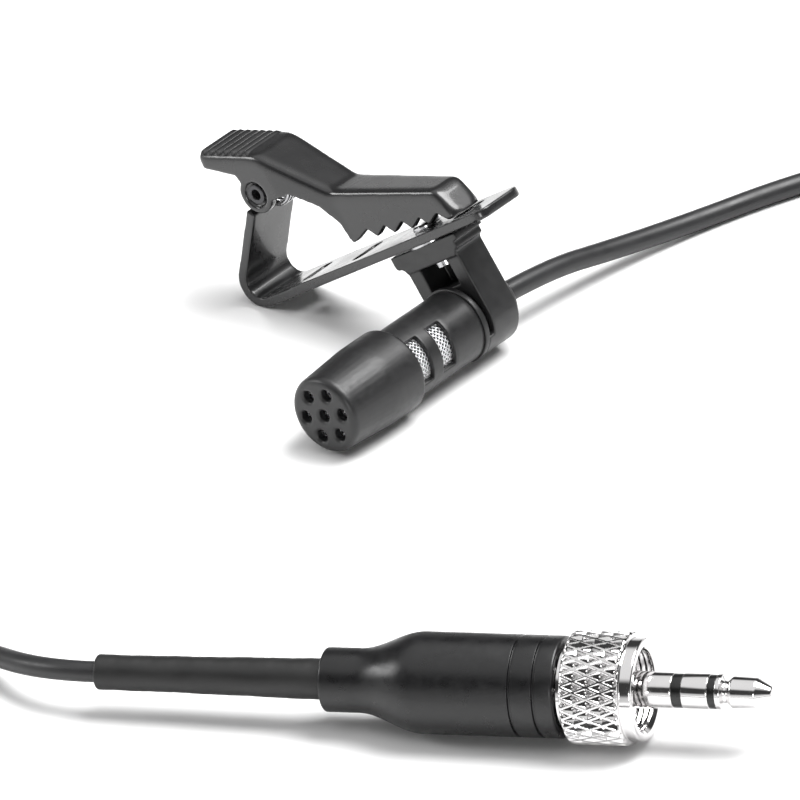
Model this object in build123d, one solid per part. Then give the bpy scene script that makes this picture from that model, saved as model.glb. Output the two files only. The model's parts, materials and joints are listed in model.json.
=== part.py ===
"""Lavalier microphone in a swivelling tie clip, with its thin cord and locking 3.5 mm plug.

Units are millimetres, +Z is up and the microphone, its clip and its plug lie on the plane z = 0.
+X runs along the clip towards the tip of its jaw, +Y runs from the front of the microphone to its
rear. The origin is under the middle of the head: the microphone, its holder and its clip.
"""
import math
import os

from build123d import *

# ---------------------------------------------------------------- running clearances
RUNNING_GAP = 0.05          # radial gap of a shaft in its bearing
SIDE_GAP = 0.10             # sideways gap between parts that turn on each other
PRESS_GAP = 0.01            # gap left in a fixed joint, so that solids do not share volume

# ---------------------------------------------------------------- microphone
CAP_RADIUS = 4.4            # widest radius of the front cap
CAP_FACE_RADIUS = 3.95      # flat front face
CAP_LENGTH = 10.5
CAP_WALL = 0.75
CAP_FRONT_WALL = 1.0
CAP_ROUND = 0.7
CAP_SWELL_AT = 6.5          # from the front face to where the cap is widest
CAP_SWELL_ROUND = 12.0
CAP_BORE_STEP = 0.35        # the bore in front of the spigot is this much narrower
HOLE_RADIUS = 0.6           # seven sound holes in the front face
HOLE_RING_RADIUS = 2.4
HOLES_ON_RING = 6
HOLE_RING_TURN = 17.0       # degrees
HOLE_FLARE = 0.25
HOLE_FLARE_DEPTH = 0.15
FRONT_TO_FLANGE = 20.4      # front face to the front of the body's rear flange
BODY_RADIUS = 3.75
BODY_WALL = 0.55
SPIGOT_LENGTH = 3.2         # the body's front end, inside the cap
FLANGE_RADIUS = 3.95
FLANGE_THICKNESS = 0.6
SLOT_WIDTH = 1.9            # side sound slots
SLOT_SPAN = 78.0            # degrees round the body
SLOT_TURN = -8.0            # degrees from the jaw's direction
SLOT_FROM_FLANGE = (5.4, 8.8)   # slot centres, in front of the flange
MESH_THICKNESS = 0.2
SPACER_LENGTH = 1.2
SPACER_LAND = 0.7           # how far the spacer covers the capsule face
CAPSULE_RADIUS = 2.95
CAPSULE_LENGTH = 3.6
CAPSULE_PORT_RADIUS = 0.8
CAPSULE_PORT_DEPTH = 0.6
GASKET_SHORT = 0.8          # the rubber sleeve ends this far before the capsule
BOARD_THICKNESS = 0.6
BOARD_RADIUS = 2.5
TAIL_RADIUS = 3.1           # the turned tail that the holder grips
TAIL_SPIGOT_LENGTH = 2.0
TAIL_BORE_RADIUS = 2.0
TAIL_BEHIND_HOLDER = 1.3
TAIL_ROUND = 0.9
GROMMET_RADIUS = 1.7
GROMMET_LENGTH = 2.2
CLAMP_RADIUS = 1.75
CLAMP_LENGTH = 1.6
LEAD_HOLE_MARGIN = 0.1      # round the two conductors in the grommet and the clamp
LEAD_RADIUS = 0.28          # one insulated conductor

# ---------------------------------------------------------------- holder
HOLDER_DEPTH = 4.0
RING_RADIUS = 3.9
BLOCK_HALF_LENGTH = 5.0
BLOCK_HEIGHT = 1.5
BLOCK_ROUND = 0.5
NECK_FILLET = 0.55
NECK_RECESS = 0.15          # the neck's front face, behind the block's
WINDOW_HALF_WIDTH = 2.1
WINDOW_TOP_BELOW_BLOCK = 2.2
WINDOW_INTO_RING = 0.45     # how far the window reaches below the ring's top
WINDOW_BACK_WALL = 0.8
NOTCH_DEPTH = 0.5           # undercut below the block's end at the jaw's tip
NOTCH_HEIGHT = 0.8
NOTCH_BELOW_BLOCK = 0.75
LUG_ANGLES = (-82.0, -38.0) # stop lug on the ring's front, degrees
HOLDER_GAP = 0.65           # flange to the ring's front face
WASHER_THICKNESS = 0.25
WASHER_RADIUS = 2.6
RIVET_RADIUS = 0.9
RIVET_HEAD_RADIUS = 1.5
RIVET_HEAD_THICKNESS = 0.45
RIVET_HEAD_ROUND = 0.25
RIVET_TAIL_RADIUS = 1.15
RIVET_TAIL_THICKNESS = 0.6
RIVET_DIMPLE_RADIUS = 0.5

# ---------------------------------------------------------------- clip
CLIP_WIDTH = 6.5
SHEET = 1.0                 # sheet thickness of the lower jaw
JAW_LENGTH = 30.0           # from the start of the flat to the tip
JAW_TIP_ROUND = 1.4
BEND_OUTER_RADIUS = 2.5
BEND_CENTRE_X = -3.8
ARM_ANGLE = 44.0            # degrees between jaw and arm
GRIP_SLOTS_X = (1.2, 9.2, 25.2)
GRIP_SLOT_WIDTH = 1.3
GRIP_SLOT_LENGTH = 4.0
MIC_ALONG_JAW = 18.7        # microphone axis, along the jaw
MIC_BELOW_JAW = 9.6         # and below the jaw's upper face
PIVOT_X = 2.2
PIVOT_Z = 9.75
PIN_RADIUS = 0.75
PIN_BORE_RADIUS = 0.42
PIN_HEAD_RADIUS = 1.12
PIN_HEAD_THICKNESS = 0.25
PIN_BORE_DEPTH = 1.6
PIN_SUNK = 0.1              # its heads, below the ears' faces
KNUCKLE_RADIUS = 1.5
KNUCKLE_WIDTH = 0.95
LEVER_WALL = 0.9
LEVER_MARGIN = 0.1          # the lever's sides, inside the jaw's edges
LEVER_ROUND = 0.6
EAR_RADIUS = 2.0
EAR_RECESS_RADIUS = 1.35
EAR_RECESS_DEPTH = 0.35
EAR_SPACE = 0.35            # cut out of the arm round each ear
PAD_TIP = (-3.3, 15.9)      # the lever's upper outline, along and above the jaw
PAD_KNEE = (4.6, 13.4)
PLATEAU_KNEE = (10.95, 7.2)
PLATEAU_END = (24.2, 3.3)
NOSE_FRONT = (25.4, 0.1)
NOSE_LAND = 1.3
PLATEAU_INSET = 0.75        # how much narrower each side of the plateau is
NOSE_INSET = 0.35           # and its front end, further
PLAN_ROUND = 5.0
CORNER_ROUND = 0.9
RIDGES = 7                  # cross ridges on the thumb pad
RIDGE_HEIGHT = 0.16
RIDGE_PITCH = 0.95
RIDGE_RADIUS = 0.32
RIDGE_FROM_TIP = 0.9
TOOTH_PITCH = 2.45
TEETH = 4                   # small teeth behind the large one
FIRST_TIP = (10.8, 1.6)
FIRST_VALLEY = (13.2, 2.35)
TOOTH_LEAN = 0.85           # tip, after its valley
TOOTH_DEPTH = 1.1
TOOTH_DROP = 0.3            # each tooth ends this much lower than the last
SPRING_WIRE = 0.55
SPRING_RADIUS = 2.1         # middle of the wire
SPRING_PITCH = 0.6
SPRING_TURNS = 2            # whole turns, before the part turn between the legs
SPRING_PAD_LEG_ANGLE = 180.0
SPRING_LEG = 5.0
SPRING_PAD_LEG = 3.2
SPRING_SPACE = 2.75         # radius cut out of the arm round the coil

# ---------------------------------------------------------------- cord
CORD_DIAMETER = 2.1
LAYER_RISE = 1.9            # from one layer of turns to the next
COIL_LAYERS = 2
COIL_OUTER = 18.0           # radius of the outermost turn, at the middle of the cord
COIL_INNER = 6.0
COIL_CENTRE = (51.5, 48.2)
COIL_ENTRY = 97.9           # degrees round the coil where the lead joins its lower layer
COIL_EXIT = 24.0            # and where the return leaves its upper layer
TIE_ANGLE = 200.0
TIE_WIDTH = 4.0
TIE_THICKNESS = 0.5
LEAD_ROUTE = [              # from the microphone's tail to the coil, after the tail's own end
    (13.6, 20.7, 4.25), (14.4, 29.2, 2.4), (16.4, 39.2, 1.1), (20.0, 49.2, 1.06),
    (25.0, 58.2, 1.06), (36.5, 64.3, 1.2)]
RETURN_ROUTE = [            # from the coil to the plug, before the plug's own end
    (73.0, 44.2, 2.6), (78.5, 28.2, 1.15), (86.5, 2.2, 1.06), (102.5, -27.8, 1.06),
    (118.5, -50.8, 1.06), (113.5, -68.8, 1.06), (89.5, -80.8, 1.06), (57.5, -92.8, 1.06),
    (31.5, -97.8, 1.06), (13.5, -95.8, 1.06), (1.5, -90.3, 1.06), (-7.5, -80.8, 1.06),
    (-5.0, -67.8, 1.06), (8.0, -61.3, 1.2)]
PLUG_RUN = 6.0              # last straight run, in line with the plug
ARC_SHARE = 0.45            # of the shorter run, taken by each corner's arc

# ---------------------------------------------------------------- plug
PLUG_REAR = (25.3, -63.2)   # rear end of the relief sleeve, over the plane
PLUG_YAW = 22.2             # degrees
PLUG_PITCH = 1.5
RELIEF_LENGTH = 23.0
RELIEF_REAR_RADIUS = 1.75
RELIEF_FRONT_RADIUS = 2.1
BARREL_LENGTH = 24.0
BARREL_REAR_RADIUS = 3.1
BARREL_RADIUS = 4.9
BARREL_REAR_LAND = 3.4
BARREL_FLARE = 6.6
BARREL_WALL = 0.9
BARREL_GROOVES = (1.9, 4.3) # behind the barrel's front end
GROOVE_WIDTH = 0.3
GROOVE_DEPTH = 0.2
NUT_RADIUS = 5.45
NUT_LENGTH = 5.9
NUT_COLLAR_RADIUS = 4.95
NUT_COLLAR_LENGTH = 1.25
NUT_THREAD_RADIUS = 3.9
NUT_REAR_WALL = 1.3
NUT_FRONT_CHAMFER = 0.4
NUT_GAP = 0.8               # barrel to nut
NUT_TRAVEL = 1.5
STEM_RADIUS = 2.6
STEM_STOP_RADIUS = 2.95
STEM_REAR_LENGTH = 4.0      # the stem's root, inside the barrel
SHOULDER_IN_NUT = 1.4       # jack's shoulder, behind the nut's front end
SLIP_WALL = 0.55
SLIP_LIP = 0.4
SLIP_REAR_LIP = 0.5
SLIP_REAR_RADIUS = 4.2
JACK_RADIUS = 1.75
JACK_SEAT_STEP = 0.25       # the sleeve is this much thinner inside the stem
JACK_RADII = (0.4, 0.7, 1.0, 1.3)   # tip rod, its tube, the ring's tube, the outer insulator
JACK_TAIL_STEP = 0.7        # how much further back each inner layer reaches
JACK_REACH = 12.6           # tip to the nut's front end
JACK_STEPS = (2.9, 3.85, 6.5, 7.2)  # sleeve end, ring start, ring end, tip start
JACK_NECK = (7.6, 8.1)
JACK_NECK_RADIUS = 1.1
JACK_TIP_RADIUS = 1.55
JACK_CONE = 1.3
TAG_SIZE = (0.9, 2.4, 0.3)
CRIMP_RADIUS = 2.05
CRIMP_START = 2.6           # inside the barrel, in front of its rear end
CRIMP_LENGTH = 2.2
JACKET_IN_BARREL = 5.5      # how far the jacketed cord reaches into the barrel
RELIEF_IN_BARREL = 2.0


# ================================================================ helpers
def turned(points, rounds=()):
    """A solid of revolution about +Y from (radius, y) points; rounds holds (index, fillet)."""
    outline = make_face(Polyline(*points, close=True))
    for index, radius in rounds:
        corner = min(outline.vertices(), key=lambda v: math.dist((v.X, v.Y), points[index]))
        outline = fillet(corner, radius)
    return Rot(-90, 0, 0) * revolve(Plane.XZ * outline, Axis.Z)


def tube(outer, inner, start, end):
    """A plain tube on the Y axis."""
    return turned([(inner, start), (outer, start), (outer, end), (inner, end)])


def rod(radius, start, end):
    """A plain rod on the Y axis."""
    return turned([(0, start), (radius, start), (radius, end), (0, end)])


def plate(outline, low, high):
    """Extrude an (x, z) outline from y = low to y = high."""
    return Pos(0, high, 0) * (Plane.XZ * extrude(outline, high - low))


def box(x, y, z):
    """A block from three (low, high) pairs."""
    size = [pair[1] - pair[0] for pair in (x, y, z)]
    middle = [(pair[1] + pair[0]) / 2 for pair in (x, y, z)]
    return Pos(*middle) * Box(*size)


def sector(outer, inner, first, last, start, end):
    """The part of a tube on the Y axis between two angles, from +X towards +Z, in degrees."""
    reach = 2 * outer
    steps = 6
    fan = [(0, 0)]
    for step in range(steps + 1):
        angle = math.radians(first + (last - first) * step / steps)
        fan.append((reach * math.cos(angle), reach * math.sin(angle)))
    wedge = plate(make_face(Polyline(*fan, close=True)), start, end)
    return tube(outer, inner, start, end) & wedge


# ================================================================ frames
JAW_MID_Y = CLIP_WIDTH / 2
HOLDER_FRONT_Y = JAW_MID_Y - HOLDER_DEPTH / 2
FLANGE_FRONT_Y = HOLDER_FRONT_Y - HOLDER_GAP - FLANGE_THICKNESS
MIC_FRONT_Y = FLANGE_FRONT_Y - FRONT_TO_FLANGE
HOLDER_REAR_Y = HOLDER_FRONT_Y + HOLDER_DEPTH
TAIL_END_Y = HOLDER_REAR_Y + TAIL_BEHIND_HOLDER
BEND_CENTRE_Z = BEND_OUTER_RADIUS - SHEET


def rest_angle():
    """Slope of the jaw when the bend of the clip and the cap of the microphone both touch the plane.

    The bend's centre lies reach away from the microphone axis; turning the clip about that axis by
    the returned angle puts the bend's lowest point at the height of the cap's lowest point.
    """
    along = MIC_ALONG_JAW - BEND_CENTRE_X
    above = MIC_BELOW_JAW + BEND_CENTRE_Z
    reach = math.hypot(along, above)
    drop = (CAP_RADIUS - BEND_OUTER_RADIUS) / reach
    return math.degrees(math.acos(-drop) - math.atan2(along, above))


JAW_SLOPE = rest_angle()
ON_AXIS = Rot(0, -JAW_SLOPE, 0)                              # turns clip axes about the microphone
IN_CLIP = ON_AXIS * Pos(-MIC_ALONG_JAW, 0, MIC_BELOW_JAW)    # clip axes, origin on the jaw
AROUND_MIC = ON_AXIS                                         # clip axes, origin on the mic axis


# ================================================================ microphone
def mic_cap():
    """Front cap: a gently swelling shell with seven sound holes in its flat face."""
    front = MIC_FRONT_Y
    rear = front + CAP_LENGTH
    swell = front + CAP_SWELL_AT
    bore = cap_inner_radius()
    shell = turned(
        [(0, front), (CAP_FACE_RADIUS, front), (CAP_RADIUS, swell), (CAP_RADIUS, rear),
         (BODY_RADIUS + PRESS_GAP, rear), (BODY_RADIUS + PRESS_GAP, rear - SPIGOT_LENGTH),
         (bore, rear - SPIGOT_LENGTH), (bore, front + CAP_FRONT_WALL),
         (0, front + CAP_FRONT_WALL)],
        rounds=[(1, CAP_ROUND), (2, CAP_SWELL_ROUND), (3, CAP_ROUND / 2)])
    centres = [(0.0, 0.0)]
    for hole in range(HOLES_ON_RING):
        angle = math.radians(HOLE_RING_TURN + 360 * hole / HOLES_ON_RING)
        centres.append((HOLE_RING_RADIUS * math.cos(angle), HOLE_RING_RADIUS * math.sin(angle)))
    for x, z in centres:
        shell -= Pos(x, 0, z) * rod(HOLE_RADIUS, front - 1, front + CAP_FRONT_WALL + 1)
        shell -= Pos(x, 0, z) * turned([(0, front), (HOLE_RADIUS + HOLE_FLARE, front),
                                        (HOLE_RADIUS, front + HOLE_FLARE_DEPTH),
                                        (0, front + HOLE_FLARE_DEPTH)])
    return shell


def cap_inner_radius():
    """Bore of the cap in front of the body's spigot."""
    return CAP_RADIUS - CAP_WALL - CAP_BORE_STEP


def capsule_front():
    """Front face of the capsule."""
    return MIC_FRONT_Y + CAP_FRONT_WALL + MESH_THICKNESS + SPACER_LENGTH


def cap_mesh():
    """Woven wire disc behind the holes."""
    start = MIC_FRONT_Y + CAP_FRONT_WALL
    return rod(cap_inner_radius() - PRESS_GAP, start + PRESS_GAP, start + MESH_THICKNESS)


def capsule_spacer():
    """Felt ring between the wire disc and the capsule."""
    start = MIC_FRONT_Y + CAP_FRONT_WALL + MESH_THICKNESS
    return tube(cap_inner_radius() - PRESS_GAP, CAPSULE_RADIUS - SPACER_LAND,
                start + PRESS_GAP, capsule_front() - PRESS_GAP)


def capsule_can():
    """The electret capsule's can, with its sound port."""
    front = capsule_front()
    can = rod(CAPSULE_RADIUS, front, front + CAPSULE_LENGTH)
    return can - rod(CAPSULE_PORT_RADIUS, front - 1, front + CAPSULE_PORT_DEPTH)


def capsule_gasket():
    """Rubber sleeve that holds the capsule in the cap."""
    front = capsule_front()
    return tube(cap_inner_radius() - PRESS_GAP, CAPSULE_RADIUS + PRESS_GAP,
                front, front + CAPSULE_LENGTH - GASKET_SHORT)


def capsule_board():
    """Small round board soldered to the back of the capsule."""
    start = capsule_front() + CAPSULE_LENGTH + PRESS_GAP
    return rod(BOARD_RADIUS, start, start + BOARD_THICKNESS)


def mic_body():
    """Slotted body tube with its front spigot and rear flange."""
    start = MIC_FRONT_Y + CAP_LENGTH - SPIGOT_LENGTH + PRESS_GAP
    bore = BODY_RADIUS - BODY_WALL
    body = turned(
        [(bore, start), (BODY_RADIUS, start), (BODY_RADIUS, FLANGE_FRONT_Y),
         (FLANGE_RADIUS, FLANGE_FRONT_Y), (FLANGE_RADIUS, FLANGE_FRONT_Y + FLANGE_THICKNESS),
         (bore, FLANGE_FRONT_Y + FLANGE_THICKNESS)],
        rounds=[(3, 0.15), (4, 0.15)])
    for distance in SLOT_FROM_FLANGE:
        middle = FLANGE_FRONT_Y - distance
        for side in (0, 180):
            first = SLOT_TURN - SLOT_SPAN / 2 + side
            body -= AROUND_MIC * sector(BODY_RADIUS + 1, bore - 0.1, first, first + SLOT_SPAN,
                                        middle - SLOT_WIDTH / 2, middle + SLOT_WIDTH / 2)
    return body


def body_mesh():
    """Woven wire tube inside the body, behind the side slots."""
    bore = BODY_RADIUS - BODY_WALL
    near = FLANGE_FRONT_Y - SLOT_FROM_FLANGE[0] + SLOT_WIDTH
    far = FLANGE_FRONT_Y - SLOT_FROM_FLANGE[1] - SLOT_WIDTH
    return tube(bore - PRESS_GAP, bore - MESH_THICKNESS, far, near)


def mic_tail():
    """Tail: pressed into the body, gripped by the holder, bored for the cord."""
    spigot = BODY_RADIUS - BODY_WALL - PRESS_GAP
    start = FLANGE_FRONT_Y + FLANGE_THICKNESS - TAIL_SPIGOT_LENGTH
    shoulder = FLANGE_FRONT_Y + FLANGE_THICKNESS
    seat = TAIL_END_Y - GROMMET_LENGTH
    return turned(
        [(TAIL_BORE_RADIUS, start), (spigot, start), (spigot, shoulder), (TAIL_RADIUS, shoulder),
         (TAIL_RADIUS, TAIL_END_Y), (GROMMET_RADIUS + PRESS_GAP, TAIL_END_Y),
         (GROMMET_RADIUS + PRESS_GAP, seat), (TAIL_BORE_RADIUS, seat)],
        rounds=[(4, TAIL_ROUND)])


def cord_radius():
    """Half the cord's diameter."""
    return CORD_DIAMETER / 2


def lead_hole_radius():
    """Hole that both conductors pass through."""
    return 2 * LEAD_RADIUS + LEAD_HOLE_MARGIN


def tail_grommet():
    """Rubber bush in the tail; the cord starts at its rear face."""
    return tube(GROMMET_RADIUS, lead_hole_radius(), TAIL_END_Y - GROMMET_LENGTH + PRESS_GAP,
                TAIL_END_Y)


def cord_clamp():
    """Crimped ring that takes the pull of the cord inside the tail."""
    end = TAIL_END_Y - GROMMET_LENGTH - PRESS_GAP
    return tube(CLAMP_RADIUS, lead_hole_radius(), end - CLAMP_LENGTH, end)


def inner_leads():
    """Two insulated conductors from the board to the cord."""
    start = capsule_front() + CAPSULE_LENGTH + BOARD_THICKNESS + 2 * PRESS_GAP
    first = Pos(LEAD_RADIUS + 0.02, 0, 0) * rod(LEAD_RADIUS, start, TAIL_END_Y - PRESS_GAP)
    second = Pos(-LEAD_RADIUS - 0.02, 0, 0) * rod(LEAD_RADIUS, start, TAIL_END_Y - PRESS_GAP)
    return Compound(children=[first, second])


# ================================================================ holder
def block_top():
    """Top of the holder's block above the microphone axis."""
    return MIC_BELOW_JAW - SHEET - WASHER_THICKNESS - 2 * PRESS_GAP


def mic_holder():
    """Moulded block, windowed neck and split ring that carries the microphone."""
    top = block_top()
    low = top - BLOCK_HEIGHT
    front, rear = HOLDER_FRONT_Y, HOLDER_REAR_Y
    neck = make_face(Polyline((-RING_RADIUS, 0), (RING_RADIUS, 0), (RING_RADIUS, low + 0.2),
                              (-RING_RADIUS, low + 0.2), close=True))
    block = make_face(Polyline((-BLOCK_HALF_LENGTH, low), (BLOCK_HALF_LENGTH, low),
                               (BLOCK_HALF_LENGTH, top), (-BLOCK_HALF_LENGTH, top), close=True))
    outline = neck + block + Circle(RING_RADIUS)
    inside = [v for v in outline.vertices()
              if abs(abs(v.X) - RING_RADIUS) < 0.01 and abs(v.Y - low) < 0.01]
    outline = fillet(inside, NECK_FILLET)
    outer = [v for v in outline.vertices()
             if abs(abs(v.X) - BLOCK_HALF_LENGTH) < 0.01 and abs(v.Y - low) < 0.01]
    outline = fillet(outer, BLOCK_ROUND)
    holder = plate(outline, front, rear)
    bore = TAIL_RADIUS + RUNNING_GAP
    holder -= rod(bore, front - 1, rear + 1)
    window_top = window_ceiling()
    holder -= box((-WINDOW_HALF_WIDTH, WINDOW_HALF_WIDTH), (front - 1, rear - WINDOW_BACK_WALL),
                  (RING_RADIUS - WINDOW_INTO_RING, window_top))
    holder -= box((-2 * RING_RADIUS, 2 * RING_RADIUS), (front - 1, front + NECK_RECESS),
                  (-2 * RING_RADIUS, window_top + 0.1))
    notch_top = top - NOTCH_BELOW_BLOCK
    holder -= box((BLOCK_HALF_LENGTH - NOTCH_DEPTH, BLOCK_HALF_LENGTH + 1), (front - 1, rear + 1),
                  (notch_top - NOTCH_HEIGHT, notch_top))
    holder += sector(RING_RADIUS, bore, *LUG_ANGLES, front - HOLDER_GAP + 0.08,
                     front + NECK_RECESS + 0.1)
    holder -= Pos(0, JAW_MID_Y, (window_top + top) / 2) * Cylinder(RIVET_RADIUS + PRESS_GAP, 4)
    return AROUND_MIC * holder


def window_ceiling():
    """Ceiling of the holder's window above the microphone axis."""
    return block_top() - WINDOW_TOP_BELOW_BLOCK


def swivel_washer():
    """Spring washer between the holder and the jaw."""
    middle = block_top() + PRESS_GAP + WASHER_THICKNESS / 2
    washer = Cylinder(WASHER_RADIUS, WASHER_THICKNESS) - Cylinder(RIVET_RADIUS + 0.1, 1)
    return AROUND_MIC * (Pos(0, JAW_MID_Y, middle) * washer)


def swivel_rivet():
    """Rivet that the jaw turns on; its lower end is closed in the holder's window."""
    shank_low = window_ceiling()
    shank_top = MIC_BELOW_JAW + SIDE_GAP
    shank = Pos(0, 0, (shank_low + shank_top) / 2) * Cylinder(RIVET_RADIUS, shank_top - shank_low)
    head = Pos(0, 0, shank_top + RIVET_HEAD_THICKNESS / 2)
    head = head * Cylinder(RIVET_HEAD_RADIUS, RIVET_HEAD_THICKNESS)
    head = fillet(head.edges().sort_by(Axis.Z)[-1], RIVET_HEAD_ROUND)
    tail = Pos(0, 0, shank_low - RIVET_TAIL_THICKNESS / 2) * Cylinder(RIVET_TAIL_RADIUS, RIVET_TAIL_THICKNESS)
    tail -= Pos(0, 0, shank_low - RIVET_TAIL_THICKNESS) * Sphere(RIVET_DIMPLE_RADIUS)
    return AROUND_MIC * (Pos(0, JAW_MID_Y, 0) * (shank + head + tail))


# ================================================================ clip
def arm_frame():
    """Unit vectors along the arm and out of its outer face, in clip axes."""
    angle = math.radians(ARM_ANGLE)
    along = (math.cos(angle), math.sin(angle))
    outward = (-math.sin(angle), math.cos(angle))
    return along, outward


def jaw_outline():
    """Side outline of the bent sheet: flat jaw, bend and arm up to the pin."""
    along, outward = arm_frame()
    centre = (BEND_CENTRE_X, BEND_CENTRE_Z)
    inner_radius = BEND_OUTER_RADIUS - SHEET
    to_pin = ((PIVOT_X - centre[0]) * along[0] + (PIVOT_Z - centre[1]) * along[1])

    def on_bend(radius, degrees):
        angle = math.radians(degrees)
        return (centre[0] + radius * math.cos(angle), centre[1] + radius * math.sin(angle))

    def on_arm(radius):
        start = (centre[0] + radius * outward[0], centre[1] + radius * outward[1])
        return (start[0] + to_pin * along[0], start[1] + to_pin * along[1])

    middle = (270 + 90 + ARM_ANGLE) / 2
    low = Line((JAW_LENGTH, -SHEET), on_bend(BEND_OUTER_RADIUS, -90))
    outer = ThreePointArc(low @ 1, on_bend(BEND_OUTER_RADIUS, middle),
                          on_bend(BEND_OUTER_RADIUS, 90 + ARM_ANGLE))
    up = Line(outer @ 1, on_arm(BEND_OUTER_RADIUS))
    across = Line(up @ 1, on_arm(inner_radius))
    down = Line(across @ 1, on_bend(inner_radius, 90 + ARM_ANGLE))
    inner = ThreePointArc(down @ 1, on_bend(inner_radius, middle), on_bend(inner_radius, -90))
    top = Line(inner @ 1, (JAW_LENGTH, 0))
    end = Line(top @ 1, low @ 0)
    return make_face([low, outer, up, across, down, inner, top, end])


def knuckle_sides():
    """The two (low, high) y spans of the jaw's knuckles."""
    first = LEVER_MARGIN + LEVER_WALL + SIDE_GAP
    last = CLIP_WIDTH - first
    return (first, first + KNUCKLE_WIDTH), (last - KNUCKLE_WIDTH, last)


def lower_jaw():
    """Bent sheet jaw with grip slots, rounded tip and two knuckles round the pin."""
    jaw = plate(jaw_outline(), 0, CLIP_WIDTH)
    tip = jaw.edges().filter_by(Axis.Z).group_by(Axis.X)[-1]
    jaw = fillet(tip, JAW_TIP_ROUND)
    for x in GRIP_SLOTS_X:
        slot = extrude(Pos(x, JAW_MID_Y, 0) * Rot(0, 0, 90) * SlotOverall(GRIP_SLOT_LENGTH,
                                                                         GRIP_SLOT_WIDTH), 3, both=True)
        jaw -= slot
    pin = Pos(PIVOT_X, 0, PIVOT_Z)
    (near_low, near_high), (far_low, far_high) = knuckle_sides()
    jaw -= pin * rod(EAR_RADIUS + EAR_SPACE, -1, near_low)
    jaw -= pin * rod(EAR_RADIUS + EAR_SPACE, far_high, CLIP_WIDTH + 1)
    jaw -= pin * rod(SPRING_SPACE, near_high, far_low)
    for low, high in knuckle_sides():
        jaw += pin * rod(KNUCKLE_RADIUS, low, high)
    jaw -= pin * rod(PIN_RADIUS + RUNNING_GAP, -1, CLIP_WIDTH + 1)
    bore = RIVET_RADIUS + RUNNING_GAP
    jaw -= Pos(MIC_ALONG_JAW, JAW_MID_Y, 0) * Cylinder(bore, 4)
    return IN_CLIP * jaw


def lever_outline():
    """Side outline of the lever: pad, slope, plateau, nose, teeth and the web to its ears."""
    points = [PAD_TIP, PAD_KNEE, PLATEAU_KNEE, PLATEAU_END, NOSE_FRONT,
              (NOSE_FRONT[0] - NOSE_LAND, NOSE_FRONT[1])]
    for tooth in reversed(range(TEETH)):
        valley = FIRST_VALLEY[0] + TOOTH_PITCH * (tooth + 1)
        points.append((valley, FIRST_VALLEY[1] - TOOTH_DROP * (tooth + 1)))
        tip = FIRST_VALLEY[0] + TOOTH_PITCH * tooth + TOOTH_LEAN
        points.append((tip, FIRST_VALLEY[1] - TOOTH_DROP * tooth - TOOTH_DEPTH))
    points += [FIRST_VALLEY, (FIRST_TIP[0] + 0.25, FIRST_TIP[1]), (FIRST_TIP[0] - 0.25, FIRST_TIP[1]),
               (FIRST_TIP[0] - 0.5, FIRST_TIP[1] + 2.3), (FIRST_TIP[0] - 1.9, PLATEAU_KNEE[1] - 0.9),
               (PIVOT_X + 4.1, PIVOT_Z - 1.2), (PIVOT_X + 1.6, PIVOT_Z - 1.2),
               (PIVOT_X - 0.9, PIVOT_Z), (PIVOT_X - 1.3, PIVOT_Z + 2.5),
               (PAD_TIP[0] + 0.7, PAD_TIP[1] - 1.8)]
    outline = make_face(Polyline(*points, close=True))
    ear = Pos(PIVOT_X, PIVOT_Z) * Circle(EAR_RADIUS)
    outline = outline + ear

    def near(target):
        return min(outline.vertices(), key=lambda v: math.dist((v.X, v.Y), target))

    for target, radius in ((PAD_TIP, 0.5), (PAD_KNEE, 2.5), (PLATEAU_KNEE, 2.0),
                           (PLATEAU_END, 1.1), (points[-1], 0.6)):
        outline = fillet(near(target), radius)
    return outline


def lever_plan(inset):
    """Plan outline of the lever, its sides moved inwards by inset and its corners rounded."""
    low = LEVER_MARGIN + inset
    flat = low + PLATEAU_INSET
    start = PAD_TIP[0] + inset
    end = NOSE_FRONT[0] - inset
    near = [(start, low), (PAD_KNEE[0] + 0.5, low), (PLATEAU_KNEE[0], flat), (end, flat + NOSE_INSET)]
    far = [(x, CLIP_WIDTH - y) for x, y in reversed(near)]
    outline = make_face(Polyline(*near, *far, close=True))
    side = [v for v in outline.vertices() if start + 1 < v.X < end - 1]
    outline = fillet(side, PLAN_ROUND)
    corners = [v for v in outline.vertices() if v.X < start + 0.1 or v.X > end - 0.1]
    return fillet(corners, CORNER_ROUND - inset / 2)


def lever_hollow():
    """The space under the lever's top web, as a side outline."""
    wall = LEVER_WALL
    return make_face(Polyline(
        (PAD_TIP[0] + wall, PAD_TIP[1] - 1.35 * wall), (PAD_KNEE[0] - 0.35, PAD_KNEE[1] - wall),
        (PLATEAU_KNEE[0] - 0.45, PLATEAU_KNEE[1] - wall), (PLATEAU_END[0] - 0.2, PLATEAU_END[1] - wall),
        (NOSE_FRONT[0], -3), (PAD_TIP[0] + wall, -3), close=True))


def upper_lever():
    """Channel-shaped lever: ridged thumb pad, toothed side walls, ears round the pin and a nose."""
    high = PAD_TIP[1] + 5
    lever = plate(lever_outline(), LEVER_MARGIN, CLIP_WIDTH - LEVER_MARGIN)
    plan = Pos(0, 0, -5) * extrude(lever_plan(0), high + 5)
    lever = lever & plan
    hollow = plate(lever_hollow(), 0, CLIP_WIDTH)
    hollow = hollow & (Pos(0, 0, -5) * extrude(lever_plan(LEVER_WALL), high + 5))
    lever -= hollow
    pin = Pos(PIVOT_X, 0, PIVOT_Z)
    lever -= pin * rod(PIN_RADIUS + PRESS_GAP, -1, CLIP_WIDTH + 1)
    lever -= pin * rod(EAR_RECESS_RADIUS, -1, LEVER_MARGIN + EAR_RECESS_DEPTH)
    lever -= pin * rod(EAR_RECESS_RADIUS, CLIP_WIDTH - LEVER_MARGIN - EAR_RECESS_DEPTH, CLIP_WIDTH + 1)
    return IN_CLIP * (lever + pad_ridges())


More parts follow.
